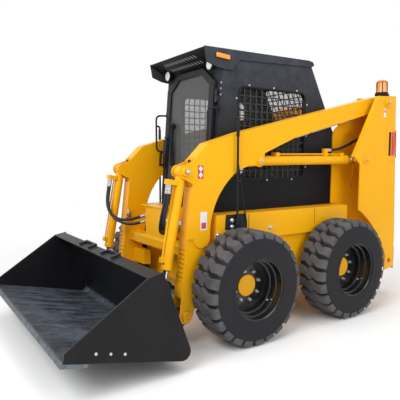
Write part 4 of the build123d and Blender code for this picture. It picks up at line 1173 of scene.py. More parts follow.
# --- wheels
@dataclass
class Wheel:
    """A tyre with its lugs, the nuts, the hub cap and the valve of one rim."""

    corner: str
    lugs: int = 24
    half_width: float = 0.132
    radius: float = 0.3865
    floor: float = 0.3640
    shoulder: float = 0.085
    crown_drop: float = 0.011
    stagger: float = 0.965
    nut_circle: float = 0.105
    nuts: int = 8
    hub_radius: float = 0.075
    hub_face: float = 0.650
    nut_size: float = 0.0125
    stud: float = 0.0065
    valve_face: float = 0.705
    valve_circle: float = 0.186
    valve_turn: float = math.radians(-38)
    floor_half: float = 0.05
    crowning: float = 0.0012
    wall: Tuple[Pair, ...] = (
        # distance from the middle plane, radius
        (0.1322, 0.2052), (0.1352, 0.2062), (0.1374, 0.2095), (0.1380, 0.2150), (0.1366, 0.2210),
        (0.1344, 0.2250), (0.1338, 0.2290), (0.1352, 0.2320), (0.1352, 0.2345), (0.1340, 0.2370),
        (0.1346, 0.2500), (0.1350, 0.2660), (0.1346, 0.2830), (0.1336, 0.3000), (0.1322, 0.3150),
        (0.1312, 0.3225), (0.1322, 0.3250), (0.1320, 0.3290), (0.1308, 0.3310), (0.1300, 0.3370),
        (0.1268, 0.3400), (0.1240, 0.3450), (0.1200, 0.3505), (0.1120, 0.3570), (0.0990, 0.3615),
    )
    stations: Tuple[Tuple[float, ...], ...] = (
        # distance from the middle plane, offset round the tyre, half width, foot radius, drop of the top
        (-0.0145, -0.029, 0.010, 0.361, 0.006), (-0.011, -0.029, 0.019, 0.361, 0.001),
        (0.004, -0.025, 0.024, 0.361, 0.0), (0.024, -0.013, 0.027, 0.361, 0.0),
        (0.040, 0.001, 0.028, 0.361, 0.0), (0.052, 0.009, 0.029, 0.361, 0.0),
        (0.066, 0.012, 0.031, 0.361, 0.0), (0.092, 0.011, 0.033, 0.358, 0.0),
        (0.112, 0.009, 0.034, 0.352, 0.001), (0.1205, 0.009, 0.034, 0.347, 0.005),
        (0.1245, 0.009, 0.032, 0.343, 0.016), (0.1265, 0.009, 0.028, 0.340, 0.030),
    )
    middle: Vector = field(default_factory=Vector)
    side: int = 1

    def __post_init__(self) -> None:
        """Finds the wheel's middle from its CAD tyre."""
        low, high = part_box(f"tyre_{self.corner}")
        self.middle = (low + high) / 2
        self.side = 1 if self.middle.x > 0 else -1

    @property
    def body(self) -> str:
        """The wheel's body."""
        return f"wheel_{self.corner}"

    def place(self) -> Matrix:
        """Local X out of the machine, local Y and Z in the wheel's plane."""
        return Matrix.Translation(self.middle) @ Matrix.Scale(self.side, 4, (1, 0, 0))

    def crown(self, across: float) -> float:
        """Radius of the lugs' tops at a distance from the middle plane."""
        share = max(0.0, abs(across) - self.shoulder) / (self.half_width - self.shoulder)
        return self.radius - self.crown_drop * share ** 2

    def carcass(self) -> Piece:
        """Builds the carcass: beads over the rim's flanges, ribbed sidewalls and the tread's floor.

        Returns:
            The carcass.
        """
        shape = Shape()
        half = [*self.wall, (self.floor_half, self.floor)]
        profile = [*half, (0.0, self.floor + self.crowning), *((-x, r) for x, r in reversed(half))]
        turn = Matrix.Rotation(math.pi / 2, 4, "Y")
        shape.lathe([(r, x) for x, r in profile], self.place() @ turn, 120)
        return shape.build(f"carcass_{self.corner}", FINISH.tyre, Slot.TYRE, self.body, angle=30)

    def lug(self, shape: Shape, half: int, angle: float) -> None:
        """Adds one lug: a bent block from beyond the middle to the shoulder.

        Args:
            shape: the tread that takes it.
            half: 1 for the outer half of the tread, -1 for the inner.
            angle: its place round the tyre, in radians.
        """
        rings: List[List[Point]] = []
        for across, shift, width, foot, drop in self.stations:
            top = self.crown(across) - drop
            ring: List[Point] = []
            for offset, radius in (
                (-width - 0.006, foot), (-width, top - 0.004), (-width + 0.004, top), (width - 0.004, top),
                (width, top - 0.004), (width + 0.006, foot),
            ):
                turn = angle + half * (shift + offset) / self.radius
                ring.append((half * across, radius * math.cos(turn), radius * math.sin(turn)))
            rings.append(ring[::-1])
        shape.loft(rings, self.place())

    def tyre(self) -> None:
        """Builds the tyre, which stands for its CAD solid."""
        lugs = Shape()
        pitch = 2 * math.pi / self.lugs
        for index in range(self.lugs):
            self.lug(lugs, 1, index * pitch)
            self.lug(lugs, -1, (index + self.stagger) * pitch)
        tread = lugs.build(f"tread_{self.corner}", FINISH.tread, Slot.TYRE, self.body, angle=32)
        for piece in (self.carcass(), tread):
            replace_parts(piece, f"tyre_{self.corner}")

    def fittings(self) -> None:
        """Builds the nuts with their studs, the hub cap and the valve."""
        out = Matrix.Rotation(math.pi / 2, 4, "Y")
        face_x = self.hub_face - abs(self.middle.x)
        nuts = Shape()
        for index in range(self.nuts):
            turn = 2 * math.pi * (index + 0.3) / self.nuts
            spot = (face_x, self.nut_circle * math.cos(turn), self.nut_circle * math.sin(turn))
            at = self.place() @ Matrix.Translation(spot) @ out @ Matrix.Rotation(turn, 4, "Z")
            foot = self.nut_size + 0.003
            nuts.lathe([(foot, 0), (foot, 0.002), (self.nut_size, 0.007), (0, 0.007)], at, 20)
            nuts.hexagon(self.nut_size, 0.011, at @ moved(0, 0, 0.006), 0.002)
            nuts.lathe([(self.stud, 0), (self.stud, 0.024), (self.stud - 0.0015, 0.026), (0, 0.026)], at, 14)
        nuts.build(f"wheel_nuts_{self.corner}", FINISH.plated, Slot.CHROME, self.body)
        cap = Shape()
        at = self.place() @ moved(face_x + 0.0052, 0, 0) @ out
        r = self.hub_radius
        cap.lathe([(r, -0.004), (r, 0.002), (r - 0.003, 0.0052), (r - 0.012, 0.0062), (r - 0.014, 0.0052),
                   (0.02, 0.0068), (0, 0.0072)], at, 48)
        cap.build(f"hub_cap_{self.corner}", FINISH.yellow, Slot.YELLOW, self.body)
        valve = Shape()
        stem = (self.valve_face - abs(self.middle.x), self.valve_circle * math.cos(self.valve_turn),
                self.valve_circle * math.sin(self.valve_turn))
        at = self.place() @ Matrix.Translation(stem) @ Matrix.Rotation(math.radians(70), 4, "Y")
        valve.lathe([(0.009, -0.006), (0.009, 0.004), (0.0045, 0.008), (0.0045, 0.03), (0.006, 0.031),
                     (0.006, 0.042), (0.004, 0.045), (0, 0.045)], at, 16)
        valve.build(f"valve_{self.corner}", FINISH.plated, Slot.CHROME, self.body)

    def build(self) -> None:
        """Builds and dresses the whole wheel."""
        dress([f"rim_{self.corner}"], FINISH.rim)
        self.tyre()
        self.fittings()


# --- hoses
@dataclass
class Hoses:
    """The free hoses of the tilt and lift cylinders, with their crimped fittings."""

    tilt_radius: float = 0.011
    lift_radius: float = 0.012
    port_side: float = 0.150
    port_y: float = -0.568
    port_heights: Pair = (0.814, 0.768)
    port_length: float = 0.020
    straight: float = 0.058
    outer: Tuple[Point, ...] = (
        (0.483, -0.745, 1.070), (0.484, -0.753, 1.008), (0.482, -0.764, 0.945), (0.470, -0.772, 0.882),
        (0.443, -0.768, 0.822), (0.399, -0.745, 0.779), (0.346, -0.704, 0.759), (0.288, -0.658, 0.763),
    )
    inner: Tuple[Point, ...] = (
        (0.457, -0.745, 1.070), (0.456, -0.754, 1.007), (0.452, -0.767, 0.943), (0.439, -0.777, 0.878),
        (0.410, -0.773, 0.815), (0.366, -0.750, 0.766), (0.318, -0.708, 0.739), (0.270, -0.660, 0.728),
    )
    lift: Tuple[Point, ...] = (
        (0.470, 0.7404, 1.3158), (0.470, 0.800, 1.3165), (0.467, 0.862, 1.322), (0.460, 0.925, 1.333),
        (0.450, 0.988, 1.348), (0.440, 1.052, 1.366), (0.432, 1.116, 1.387), (0.428, 1.180, 1.410),
        (0.428, 1.222, 1.426), (0.428, 1.2575, 1.440),
    )

    def port_direction(self, side: int) -> Vector:
        """Direction in which a port of the cover looks."""
        return Vector((side * 0.8, -0.5, -0.3)).normalized()

    def ferrule(self, shape: Shape, at: Vector, along: Vector, radius: float) -> None:
        """Adds a crimped sleeve at one end of a hose.

        Args:
            shape: the sleeves' piece.
            at: the hose's end.
            along: the way out of the hose.
            radius: the hose's radius.
        """
        r = radius
        place = aim(tuple(at), tuple(-along))
        shape.lathe([(0, -0.002), (r * 1.0, -0.002), (r * 1.18, 0.0), (r * 1.18, 0.010), (r * 1.06, 0.012),
                     (r * 1.06, 0.016), (r * 1.2, 0.018), (r * 1.2, 0.028), (r * 1.06, 0.030),
                     (r * 1.06, 0.034), (r * 1.2, 0.036), (r * 1.2, 0.046), (r * 1.08, 0.049),
                     (r * 0.9, 0.05)], place, 24)

    def nut(self, shape: Shape, at: Vector, along: Vector, radius: float, length: float) -> None:
        """Adds a hexagon nut with its stub.

        Args:
            shape: the nuts' piece.
            at: where the nut starts.
            along: from the hose to the port.
            radius: the nut's radius across its flats, nearly.
            length: the nut's length.
        """
        place = aim(tuple(at), tuple(along))
        shape.hexagon(radius * 1.15, length, place, 0.0015)
        shape.lathe([(radius * 0.8, -0.006), (radius * 0.8, length + 0.004), (0, length + 0.004)], place, 20)

    def hose(self, name: str, node: str, route: Sequence[Point], radius: float, body: str) -> None:
        """Builds one hose with a crimped sleeve at each end.

        Args:
            name: the piece's name.
            node: the CAD node that it stands for.
            route: its control points.
            radius: half its diameter.
            body: the body that it rides on.
        """
        piece = curve_piece(name, route, radius, FINISH.hose, body)
        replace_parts(piece, node)
        points = [Vector(p) for p in route]
        sleeves = Shape()
        self.ferrule(sleeves, points[0], (points[0] - points[1]).normalized(), radius)
        self.ferrule(sleeves, points[-1], (points[-1] - points[-2]).normalized(), radius)
        crimp = sleeves.build(f"{name}_sleeves", FINISH.plated, Slot.CHROME, body)
        curve_length(piece)

    def build(self) -> None:
        """Builds all six hoses and the adaptors in their ports."""
        for side in SIDES:
            hand = HANDS[side]
            out = self.port_direction(side)
            ports = Shape()
            heads = Shape()
            for name, height, route in (("outer", self.port_heights[0], self.outer),
                                        ("inner", self.port_heights[1], self.inner)):
                port = Vector((side * self.port_side, self.port_y, height))
                points = [(side * x, y, z) for x, y, z in route]
                points += [tuple(port + out * (self.port_length + self.straight)),
                           tuple(port + out * self.port_length)]
                self.hose(f"tilt_hose_{name}_{hand}", f"hose_tilt_{name}_{hand}", points, self.tilt_radius,
                          Body.BOOM.value)
                self.nut(ports, port + out * 0.004, -out, self.tilt_radius * 1.3, -0.014)
                start = Vector(points[0])
                up = (start - Vector(points[1])).normalized()
                self.nut(heads, start + up * 0.001, up, self.tilt_radius * 1.12, 0.013)
            ports.build(f"cover_nuts_{hand}", FINISH.plated, Slot.CHROME, Body.BOOM.value)
            heads.build(f"tilt_port_nuts_{hand}", FINISH.plated, Slot.CHROME, f"tilt_barrel_{hand}")
            route = [(side * x, y, z) for x, y, z in self.lift]
            self.hose(f"lift_hose_{hand}", f"hose_lift_{hand}", route, self.lift_radius,
                      f"lift_barrel_{hand}")


# --- studio
@dataclass
class Studio:
    """Camera, floor, lamps and world."""

    eye: Point = (2.9884, -2.2068, 1.2414)
    yaw: float = 55.81
    pitch: float = 5.86
    roll: float = 0.08
    sensor: float = 36.0
    focal: float = 41.004
    shift: Pair = (-0.0016, 0.0147)
    floor_tone: Colour = (0.93, 0.93, 0.93)
    floor_shade: Colour = (0.91, 0.91, 0.91)
    floor_reach: float = 60.0
    fade: Pair = (1.2, 4.5)
    fill: float = 0.62

    def camera(self) -> None:
        """Places the camera and makes it the scene's."""
        data = bpy.data.cameras.new("camera")
        data.sensor_width = self.sensor
        data.lens = self.focal
        data.shift_x, data.shift_y = self.shift
        camera = bpy.data.objects.new("camera", data)
        yaw, pitch = math.radians(self.yaw), math.radians(self.pitch)
        level = math.cos(pitch)
        ahead = Vector((-math.sin(yaw) * level, math.cos(yaw) * level, -math.sin(pitch)))
        turn = ahead.to_track_quat("-Z", "Y").to_matrix().to_4x4()
        roll = Matrix.Rotation(math.radians(self.roll), 4, "Z")
        camera.matrix_world = Matrix.Translation(self.eye) @ turn @ roll
        bpy.context.scene.collection.objects.link(camera)
        bpy.context.scene.camera = camera

    def floor(self) -> None:
        """Lays a pale floor that keeps the shadow and fades to white away from the machine."""
        mesh = bpy.data.meshes.new("floor")
        reach = self.floor_reach
        mesh.from_pydata([(-reach, -reach, 0), (reach, -reach, 0), (reach, reach, 0), (-reach, reach, 0)], [],
                         [(0, 1, 2, 3)])
        floor = bpy.data.objects.new("floor", mesh)
        bpy.context.scene.collection.objects.link(floor)
        s = Surface("floor")
        s.feed(s.tones(self.floor_tone, self.floor_shade, 0.6, 0.5).outputs["Colour"], "Base Color")
        s.set(Roughness=0.85)
        nodes, links = s.tree.nodes, s.tree.links
        place = nodes.new("ShaderNodeTexCoord")
        distance = nodes.new("ShaderNodeVectorMath")
        distance.operation = "LENGTH"
        links.new(place.outputs["Object"], distance.inputs[0])
        fade = nodes.new("ShaderNodeMapRange")
        fade.interpolation_type = "SMOOTHSTEP"
        fade.inputs["From Min"].default_value, fade.inputs["From Max"].default_value = self.fade
        links.new(distance.outputs["Value"], fade.inputs["Value"])
        white = nodes.new("ShaderNodeEmission")
        white.inputs["Strength"].default_value = 1.0
        seen = nodes.new("ShaderNodeLightPath")
        share = nodes.new("ShaderNodeMath")
        share.operation = "MULTIPLY"
        links.new(fade.outputs["Result"], share.inputs[0])
        links.new(seen.outputs["Is Camera Ray"], share.inputs[1])
        mix = nodes.new("ShaderNodeMixShader")
        links.new(share.outputs[0], mix.inputs[0])
        links.new(s.shader.outputs[0], mix.inputs[1])
        links.new(white.outputs[0], mix.inputs[2])
        links.new(mix.outputs[0], s.output.inputs[0])
        mesh.materials.append(s.material)

    def lamp(self, name: str, at: Point, target: Point, size: float, power: float) -> None:
        """Hangs one soft area lamp.

        Args:
            name: the lamp's name.
            at: its place.
            target: what it looks at.
            size: side of its square.
            power: its power in watts.
        """
        data = bpy.data.lights.new(name, "AREA")
        data.shape = "SQUARE"
        data.size = size
        data.energy = power
        lamp = bpy.data.objects.new(name, data)
        lamp.matrix_world = aim(at, tuple(Vector(at) - Vector(target)))
        bpy.context.scene.collection.objects.link(lamp)

    def world(self) -> None:
        """White to the camera, in gloss and through glass, and a softer grey as light."""
        world = bpy.data.worlds.new("studio")
        world.use_nodes = True
        tree = world.node_tree
        background = tree.nodes["Background"]
        path = tree.nodes.new("ShaderNodeLightPath")
        either = tree.nodes.new("ShaderNodeMath")
        either.operation = "MAXIMUM"
        glossy = tree.nodes.new("ShaderNodeMath")
        glossy.operation = "MAXIMUM"
        tree.links.new(path.outputs["Is Camera Ray"], glossy.inputs[0])
        tree.links.new(path.outputs["Is Glossy Ray"], glossy.inputs[1])
        tree.links.new(glossy.outputs[0], either.inputs[0])
        tree.links.new(path.outputs["Is Transmission Ray"], either.inputs[1])
        strength = tree.nodes.new("ShaderNodeMapRange")
        strength.inputs["To Min"].default_value = self.fill
        strength.inputs["To Max"].default_value = 1.0
        tree.links.new(either.outputs[0], strength.inputs["Value"])
        tree.links.new(strength.outputs["Result"], background.inputs["Strength"])
        background.inputs["Color"].default_value = (1, 1, 1, 1)
        bpy.context.scene.world = world

    def build(self) -> None:
        """Builds the studio."""
        self.camera()
        self.floor()
        self.world()
        self.lamp("key", (2.2, -4.6, 4.6), (0, 0, 0.8), 3.0, 230)
        self.lamp("side", (5.5, 0.8, 3.4), (0, 0.2, 0.9), 3.0, 75)
        self.lamp("top", (0.2, 0.4, 6.5), (0, 0.2, 0), 4.0, 110)
        bpy.context.scene.view_settings.view_transform = "Standard"


# --- cab
@dataclass
class Cab:
    """Trim of the cab: seals, screws, lamps, wiper, lock, pale sheets in the header's slots and the rails
    beside it.
    """

    side: float = 0.380
    window_y: float = 0.236
    window_z: float = 1.430
    window_w: float = 0.674
    window_h: float = 0.656
    window_corner: float = 0.045
    window_rim: float = 0.013
    screw: Pair = (0.0075, 0.005)
    pillar_screws: Point = (1.777, 1.735, 1.694)
    front_foot: Pair = (-0.320, 0.862)
    lamp_x: float = 0.292
    lamp_z: float = 1.908
    lamp_front: float = -0.303
    door_lean: float = math.radians(4.3)
    door_middle: float = 1.407
    door_depth: float = 0.037
    wiper_turn: float = math.radians(8)
    marker_at: Point = (0.390, -0.259, 1.951)
    rail_x: float = 0.368
    rail_top: float = 1.600
    rail_foot: float = 1.302
    rail_reach: float = -0.370
    rail_corner: float = 0.035
    rail_radius: float = 0.0075
    stay: Pair = (0.545, -0.240)

    def window(self, side: int) -> None:
        """Builds the rubber round a side window and the screws outside it.

        Args:
            side: 1 for left, -1 for right.
        """
        place = plate_place((side * self.side, self.window_y, self.window_z), (0, side, 0), (side, 0, 0))
        shape = Shape()
        width, height, rim = self.window_w, self.window_h, self.window_rim
        outer = ring_outline(width + 2 * rim, height + 2 * rim, self.window_corner + rim)
        shape.border(ring_outline(width, height, self.window_corner), outer, 0.004, place)
        shape.build(f"window_seal_{HANDS[side]}", FINISH.seal, Slot.BLACK)
        left, right = self.window_y - width / 2 - 0.024, self.window_y + width / 2 + 0.024
        low, high = self.window_z - height / 2 - 0.019, self.window_z + height / 2 + 0.019
        spots = [(y, low) for y in (-0.083, 0.180, 0.443)] + [(y, high) for y in (-0.007, 0.236, 0.479)]
        spots += [(y, z) for y in (left, right) for z in (1.18, 1.43, 1.676)]
        heads = Shape()
        for y, z in spots:
            heads.dome_screw(plate_place((side * self.side, y, z), (0, 1, 0), (side, 0, 0)), *self.screw)
        for z in self.pillar_screws:
            spot = (side * 0.366, self.face(z) + 0.0005, z)
            heads.dome_screw(plate_place(spot, (1, 0, 0), (0, -1, 0)), *self.screw)
        heads.build(f"cab_screws_{HANDS[side]}", FINISH.plated, Slot.CHROME)

    def face(self, z: float) -> float:
        """Y of the cab's leaning front face at a height."""
        return self.front_foot[0] + (z - self.front_foot[1]) * math.tan(self.door_lean)

    def lamps(self) -> None:
        """Builds the work lamps, which stand for their CAD discs."""
        pots, bezels, lenses = Shape(), Shape(), Shape()
        for side in SIDES:
            place = aim((side * self.lamp_x, self.lamp_front, self.lamp_z), (0, -1, 0))
            pots.lathe([(0, -0.050), (0.026, -0.048), (0.037, -0.032), (0.043, -0.008), (0.043, 0.001),
                        (0.036, 0.001), (0.034, -0.008), (0, -0.008)], place, 40)
            bezels.lathe([(0.0435, -0.004), (0.044, 0.001), (0.042, 0.004), (0.037, 0.004), (0.036, 0.0),
                          (0.0435, -0.004)], place, 40)
            lenses.lathe([(0.0362, -0.004), (0.0355, 0.002), (0.027, 0.0052), (0.014, 0.0068), (0, 0.0073)],
                         place, 40)
        pieces = (
            pots.build("work_lamp_pots", FINISH.black, Slot.BLACK),
            bezels.build("work_lamp_bezels", FINISH.seal, Slot.BLACK),
            lenses.build("work_lamp_lenses", FINISH.clear, Slot.LAMP),
        )
        for piece in pieces:
            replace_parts(piece, "work_lamps")

    def markers(self) -> None:
        """Builds the ribbed side markers, which stand for their CAD blocks."""
        lens, base = Shape(), Shape()
        for side in SIDES:
            x, y, z = self.marker_at
            place = plate_place((side * x, y, z), (0, side, -0.07), (side, 0, 0))
            base.rounded(0.124, 0.038, 0.004, 0.006, place)
            lens.rounded(0.116, 0.030, 0.011, 0.005, place @ moved(0, 0, 0.003), 0.003)
            for step in range(9):
                rib = place @ moved(-0.048 + step * 0.012, 0, 0.001)
                lens.rounded(0.004, 0.026, 0.0135, 0.0015, rib, 0.001)
        for piece in (lens.build("marker_lenses", FINISH.amber, Slot.AMBER),
                      base.build("marker_bases", FINISH.seal, Slot.BLACK)):
            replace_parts(piece, "marker_lamps")

    def rails(self) -> None:
        """Builds the grab handles, the stays and their braces, which stand for their CAD rods."""
        shape, grips = Shape(), Shape()
        x, y = self.stay
        for side in SIDES:
            rail_x, corner = side * self.rail_x, self.rail_corner
            turns = [step / 6 * math.pi / 2 for step in range(7)]
            ends = [(rail_x, self.face(z) + 0.002, z) for z in (self.rail_top, self.rail_foot)]
            bends = [ends[0], (rail_x, self.rail_reach + corner, self.rail_top - 0.003)]
            bends += [(rail_x, self.rail_reach + corner * (1 - math.sin(turn)),
                       self.rail_top - 0.003 - corner * (1 - math.cos(turn))) for turn in turns]
            bends += [(rail_x, self.rail_reach + corner * (1 - math.cos(turn)),
                       self.rail_foot + 0.037 - corner * math.sin(turn)) for turn in turns]
            shape.tube(bends + [ends[1]], self.rail_radius, 14)
            for z in (self.rail_top, self.rail_foot):
                foot = (side * (self.rail_x - 0.002), self.face(z), z)
                shape.rounded(0.030, 0.050, 0.006, 0.008, plate_place(foot, (1, 0, 0), (0, -1, 0)))
            shape.tube([(side * x, y - 0.003, 0.785), (side * x, y - 0.003, 0.830)], 0.013, 18)
            top = [(side * x, y, 0.825), (side * x, y, 1.505)]
            for step in range(6):
                turn = step / 5 * math.radians(100)
                top.append((side * x, y - 0.018 * (1 - math.cos(turn)), 1.507 + 0.018 * math.sin(turn)))
            shape.tube(top, 0.0080, 14)
            grips.lathe([(0.0105, 0), (0.0115, 0.003), (0.0105, 0.10), (0.0085, 0.103)],
                        moved(side * x, y, 1.395), 18)
            shape.tube([(side * (x - 0.009), y + 0.088, 0.800), (side * x, y + 0.006, 1.205)], 0.0048, 10)
            outline = [(-0.084, 0.0), (-0.092, -0.102), (0.100, -0.113), (0.100, -0.062), (0.088, 0.0)]
            plate = plate_place((side * 0.525, y, 0.862), (0, side, 0), (side, 0, 0))
            shape.prism([(side * a, b) for a, b in outline][::side], 0.008, plate, 0.001)
            bolts_at = Shape()
            for z in (0.820, 0.776):
                spot = plate_place((side * 0.5325, y - 0.038, z), (0, 1, 0), (side, 0, 0))
                bolts_at.dome_screw(spot, 0.017, 0.011)
            bolts_at.build(f"bracket_bolts_{HANDS[side]}", FINISH.plated, Slot.CHROME)
        rods = shape.build("handles_and_stays", FINISH.black, Slot.BLACK)
        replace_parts(rods, "rails")
        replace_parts(grips.build("stay_grips", FINISH.seal, Slot.BLACK), "rails")

    def wiper(self) -> None:
        """Builds the wiper and the lock of the door."""
        upright = Matrix.Rotation(-self.door_lean, 4, "X") @ Matrix.Rotation(math.pi / 2, 4, "X")
        door = moved(0, self.face(self.door_middle) - self.door_depth, self.door_middle) @ upright
        hub = Shape()
        spot = door @ moved(-0.205, 0.093, 0.004)
        hub.lathe([(0.024, -0.004), (0.024, 0.010), (0.018, 0.016), (0.011, 0.018), (0.011, 0.024),
                   (0, 0.024)], spot, 24)
        arm = spot @ Matrix.Rotation(self.wiper_turn, 4, "Z")
        hub.rounded(0.016, 0.330, 0.006, 0.006, arm @ moved(0, -0.150, 0.017), 0.002)
        hub.rounded(0.010, 0.380, 0.012, 0.004, arm @ moved(0.020, -0.190, 0.005), 0.002)
        hub.build("door_wiper", FINISH.seal, Slot.BLACK, Body.DOOR.value)
        lock, button = Shape(), Shape()
        at = door @ moved(-0.297, -0.060, 0.003)
        lock.rounded(0.034, 0.150, 0.012, 0.010, at, 0.003)
        lock.rounded(0.018, 0.110, 0.012, 0.008, at @ moved(0.003, -0.008, 0.011), 0.004)
        button.lathe([(0.008, 0), (0.008, 0.006), (0.006, 0.008), (0, 0.008)],
                     at @ moved(0.0, 0.056, 0.011), 20)
        lock.build("door_lock", FINISH.cast, Slot.BLACK, Body.DOOR.value)
        button.build("door_lock_button", FINISH.plated, Slot.CHROME, Body.DOOR.value)

    def header_slot_sheets(self) -> None:
        """Builds pale sheets in the header's slanted slots, which make the slots look light."""
        shape = Shape()
        for z in (1.968, 1.938):
            y = -0.405 + 1.969 * (1.986 - z)
            for step in range(12):
                place = plate_place(((step - 5.5) * 0.037, y, z), (0.82, 0, 0.57), (0, -0.453, -0.891))
                shape.rounded(0.0052, 0.030, 0.0008, 0.002, place, 0.0)
        shape.build("header_slot_sheets", FINISH.label, Slot.BLACK)

    def build(self) -> None:
        """Builds all the trim of the cab."""
        for side in SIDES:
            self.window(side)
        self.lamps()
        self.markers()
        self.rails()
        self.wiper()
        self.header_slot_sheets()


# --- seat
@dataclass
class Seat:
    """The soft cushion and back of the driver's seat, and the knobs of the controls beside it."""

    cushion_at: Point = (0.0, 0.440, 0.8595)
    cushion_size: Point = (0.430, 0.480, 0.085)
    back_at: Point = (0.0, 0.758, 1.140)
    back_size: Point = (0.415, 0.075, 0.590)
    back_lean: float = math.radians(5)
    cap: float = 0.022
    voxel: float = 0.006
    pressure: float = 4.0
    steps: int = 20
    groove: Pair = (0.007, 0.009)

    def pad(self, name: str, size: Point, place: Matrix, grooves: Sequence[float]) -> Piece:
        """Builds one swollen pad with sewn channels.

        Args:
            name: the piece's name.
            size: its size before it swells.
            place: its middle and lean.
            grooves: places of the sewn channels along its longer face, as shares of its half length.

        Returns:
            The pad, with its swelling applied.
        """
        mesh = bpy.data.meshes.new(name)
        form = bmesh.new()
        bmesh.ops.create_cube(form, size=1.0)
        bmesh.ops.scale(form, vec=size, verts=form.verts)
        bmesh.ops.bevel(form, geom=form.edges[:], offset=0.024, segments=4, affect="EDGES", profile=0.6)
        form.to_mesh(mesh)
        form.free()
        piece = bpy.data.objects.new(name, mesh)
        bpy.context.scene.collection.objects.link(piece)
        self.swell(piece)
        data = piece.data
        long_axis = 2 if size[2] > size[1] else 1
        thin_axis = 1 if long_axis == 2 else 2
        half = size[long_axis] / 2
        for vertex in data.vertices:
            share = vertex.co[long_axis] / half
            for groove in grooves:
                depth = self.groove[0] * math.exp(-((share - groove) * half / self.groove[1]) ** 2)
                vertex.co[thin_axis] -= math.copysign(depth, vertex.co[thin_axis])
        data.transform(place)
        data.shade_smooth()
        data.materials.append(FINISH.seat)
        smooth = piece.modifiers.new("fine", "SUBSURF")
        smooth.levels = smooth.render_levels = 1
        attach(piece, Body.MACHINE.value)
        return piece

    def swell(self, piece: Piece) -> None:
        """Swells a pad by a short cloth simulation and keeps its result.

        Args:
            piece: the pad's object.
        """
        remesh = piece.modifiers.new("even", "REMESH")
        remesh.mode = "VOXEL"
        remesh.voxel_size = self.voxel
        graph = bpy.context.evaluated_depsgraph_get()
        base = bpy.data.meshes.new_from_object(piece.evaluated_get(graph))
        piece.modifiers.clear()
        piece.data = base
        before = [v.co.copy() for v in base.vertices]
        cloth = piece.modifiers.new("cloth", "CLOTH")
        cloth.settings.use_pressure = True
        cloth.settings.uniform_pressure_force = self.pressure
        cloth.settings.effector_weights.gravity = 0.0
        scene = bpy.context.scene
        for step in range(1, self.steps + 1):
            scene.frame_set(step)
        graph = bpy.context.evaluated_depsgraph_get()
        swollen = bpy.data.meshes.new_from_object(piece.evaluated_get(graph))
        piece.modifiers.clear()
        for vertex, start in zip(swollen.vertices, before):
            move = vertex.co - start
            if move.length > self.cap:
                vertex.co = start + move.normalized() * self.cap
        piece.data = swollen
        scene.frame_set(1)

    def controls(self) -> None:
        """Builds the boots and grips of the two sticks."""
        boots, grips = Shape(), Shape()
        for side in SIDES:
            place = moved(side * 0.2925, 0.190, 1.000)
            profile = [(0.034, 0.001)]
            for fold in range(4):
                slim, up = fold * 0.004, fold * 0.012
                profile += [(0.031 - slim, 0.008 + up), (0.025 - slim, 0.013 + up)]
            boots.lathe(profile + [(0.0135, 0.056), (0.0135, 0.062), (0, 0.062)], place, 28)
            grips.lathe([(0.0215, 0.172), (0.023, 0.180), (0.0225, 0.200), (0.025, 0.212), (0.022, 0.2165),
                         (0.012, 0.2185), (0, 0.219)], place, 28)
        boots.build("stick_boots", FINISH.seal, Slot.CONSOLE)
        grips.build("stick_grips", FINISH.seat, Slot.CONSOLE)

    def build(self) -> None:
        """Builds the pads and the controls."""
        cushion = self.pad("seat_pad", self.cushion_size, moved(*self.cushion_at), (-0.45, 0.0, 0.45))
        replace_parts(cushion, "seat_cushion")
        lean = moved(*self.back_at) @ Matrix.Rotation(-self.back_lean, 4, "X")
        back = self.pad("back_pad", self.back_size, lean, (-0.55, -0.1, 0.35))
        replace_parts(back, "seat_back")
        shell = Shape()
        behind = lean @ moved(0, 0.048, -0.04) @ Matrix.Rotation(-math.pi / 2, 4, "X")
        shell.rounded(0.290, 0.500, 0.010, 0.03, behind, 0.002)
        foot = plate_place((0, 0.752, 0.850), (1, 0, 0), (0, -1, 0))
        shell.rounded(0.290, 0.100, 0.012, 0.01, foot, 0.002)
        carrier = shell.build("seat_carrier", FINISH.cast, Slot.SEAT)
        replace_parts(carrier, "seat_back")
        self.controls()


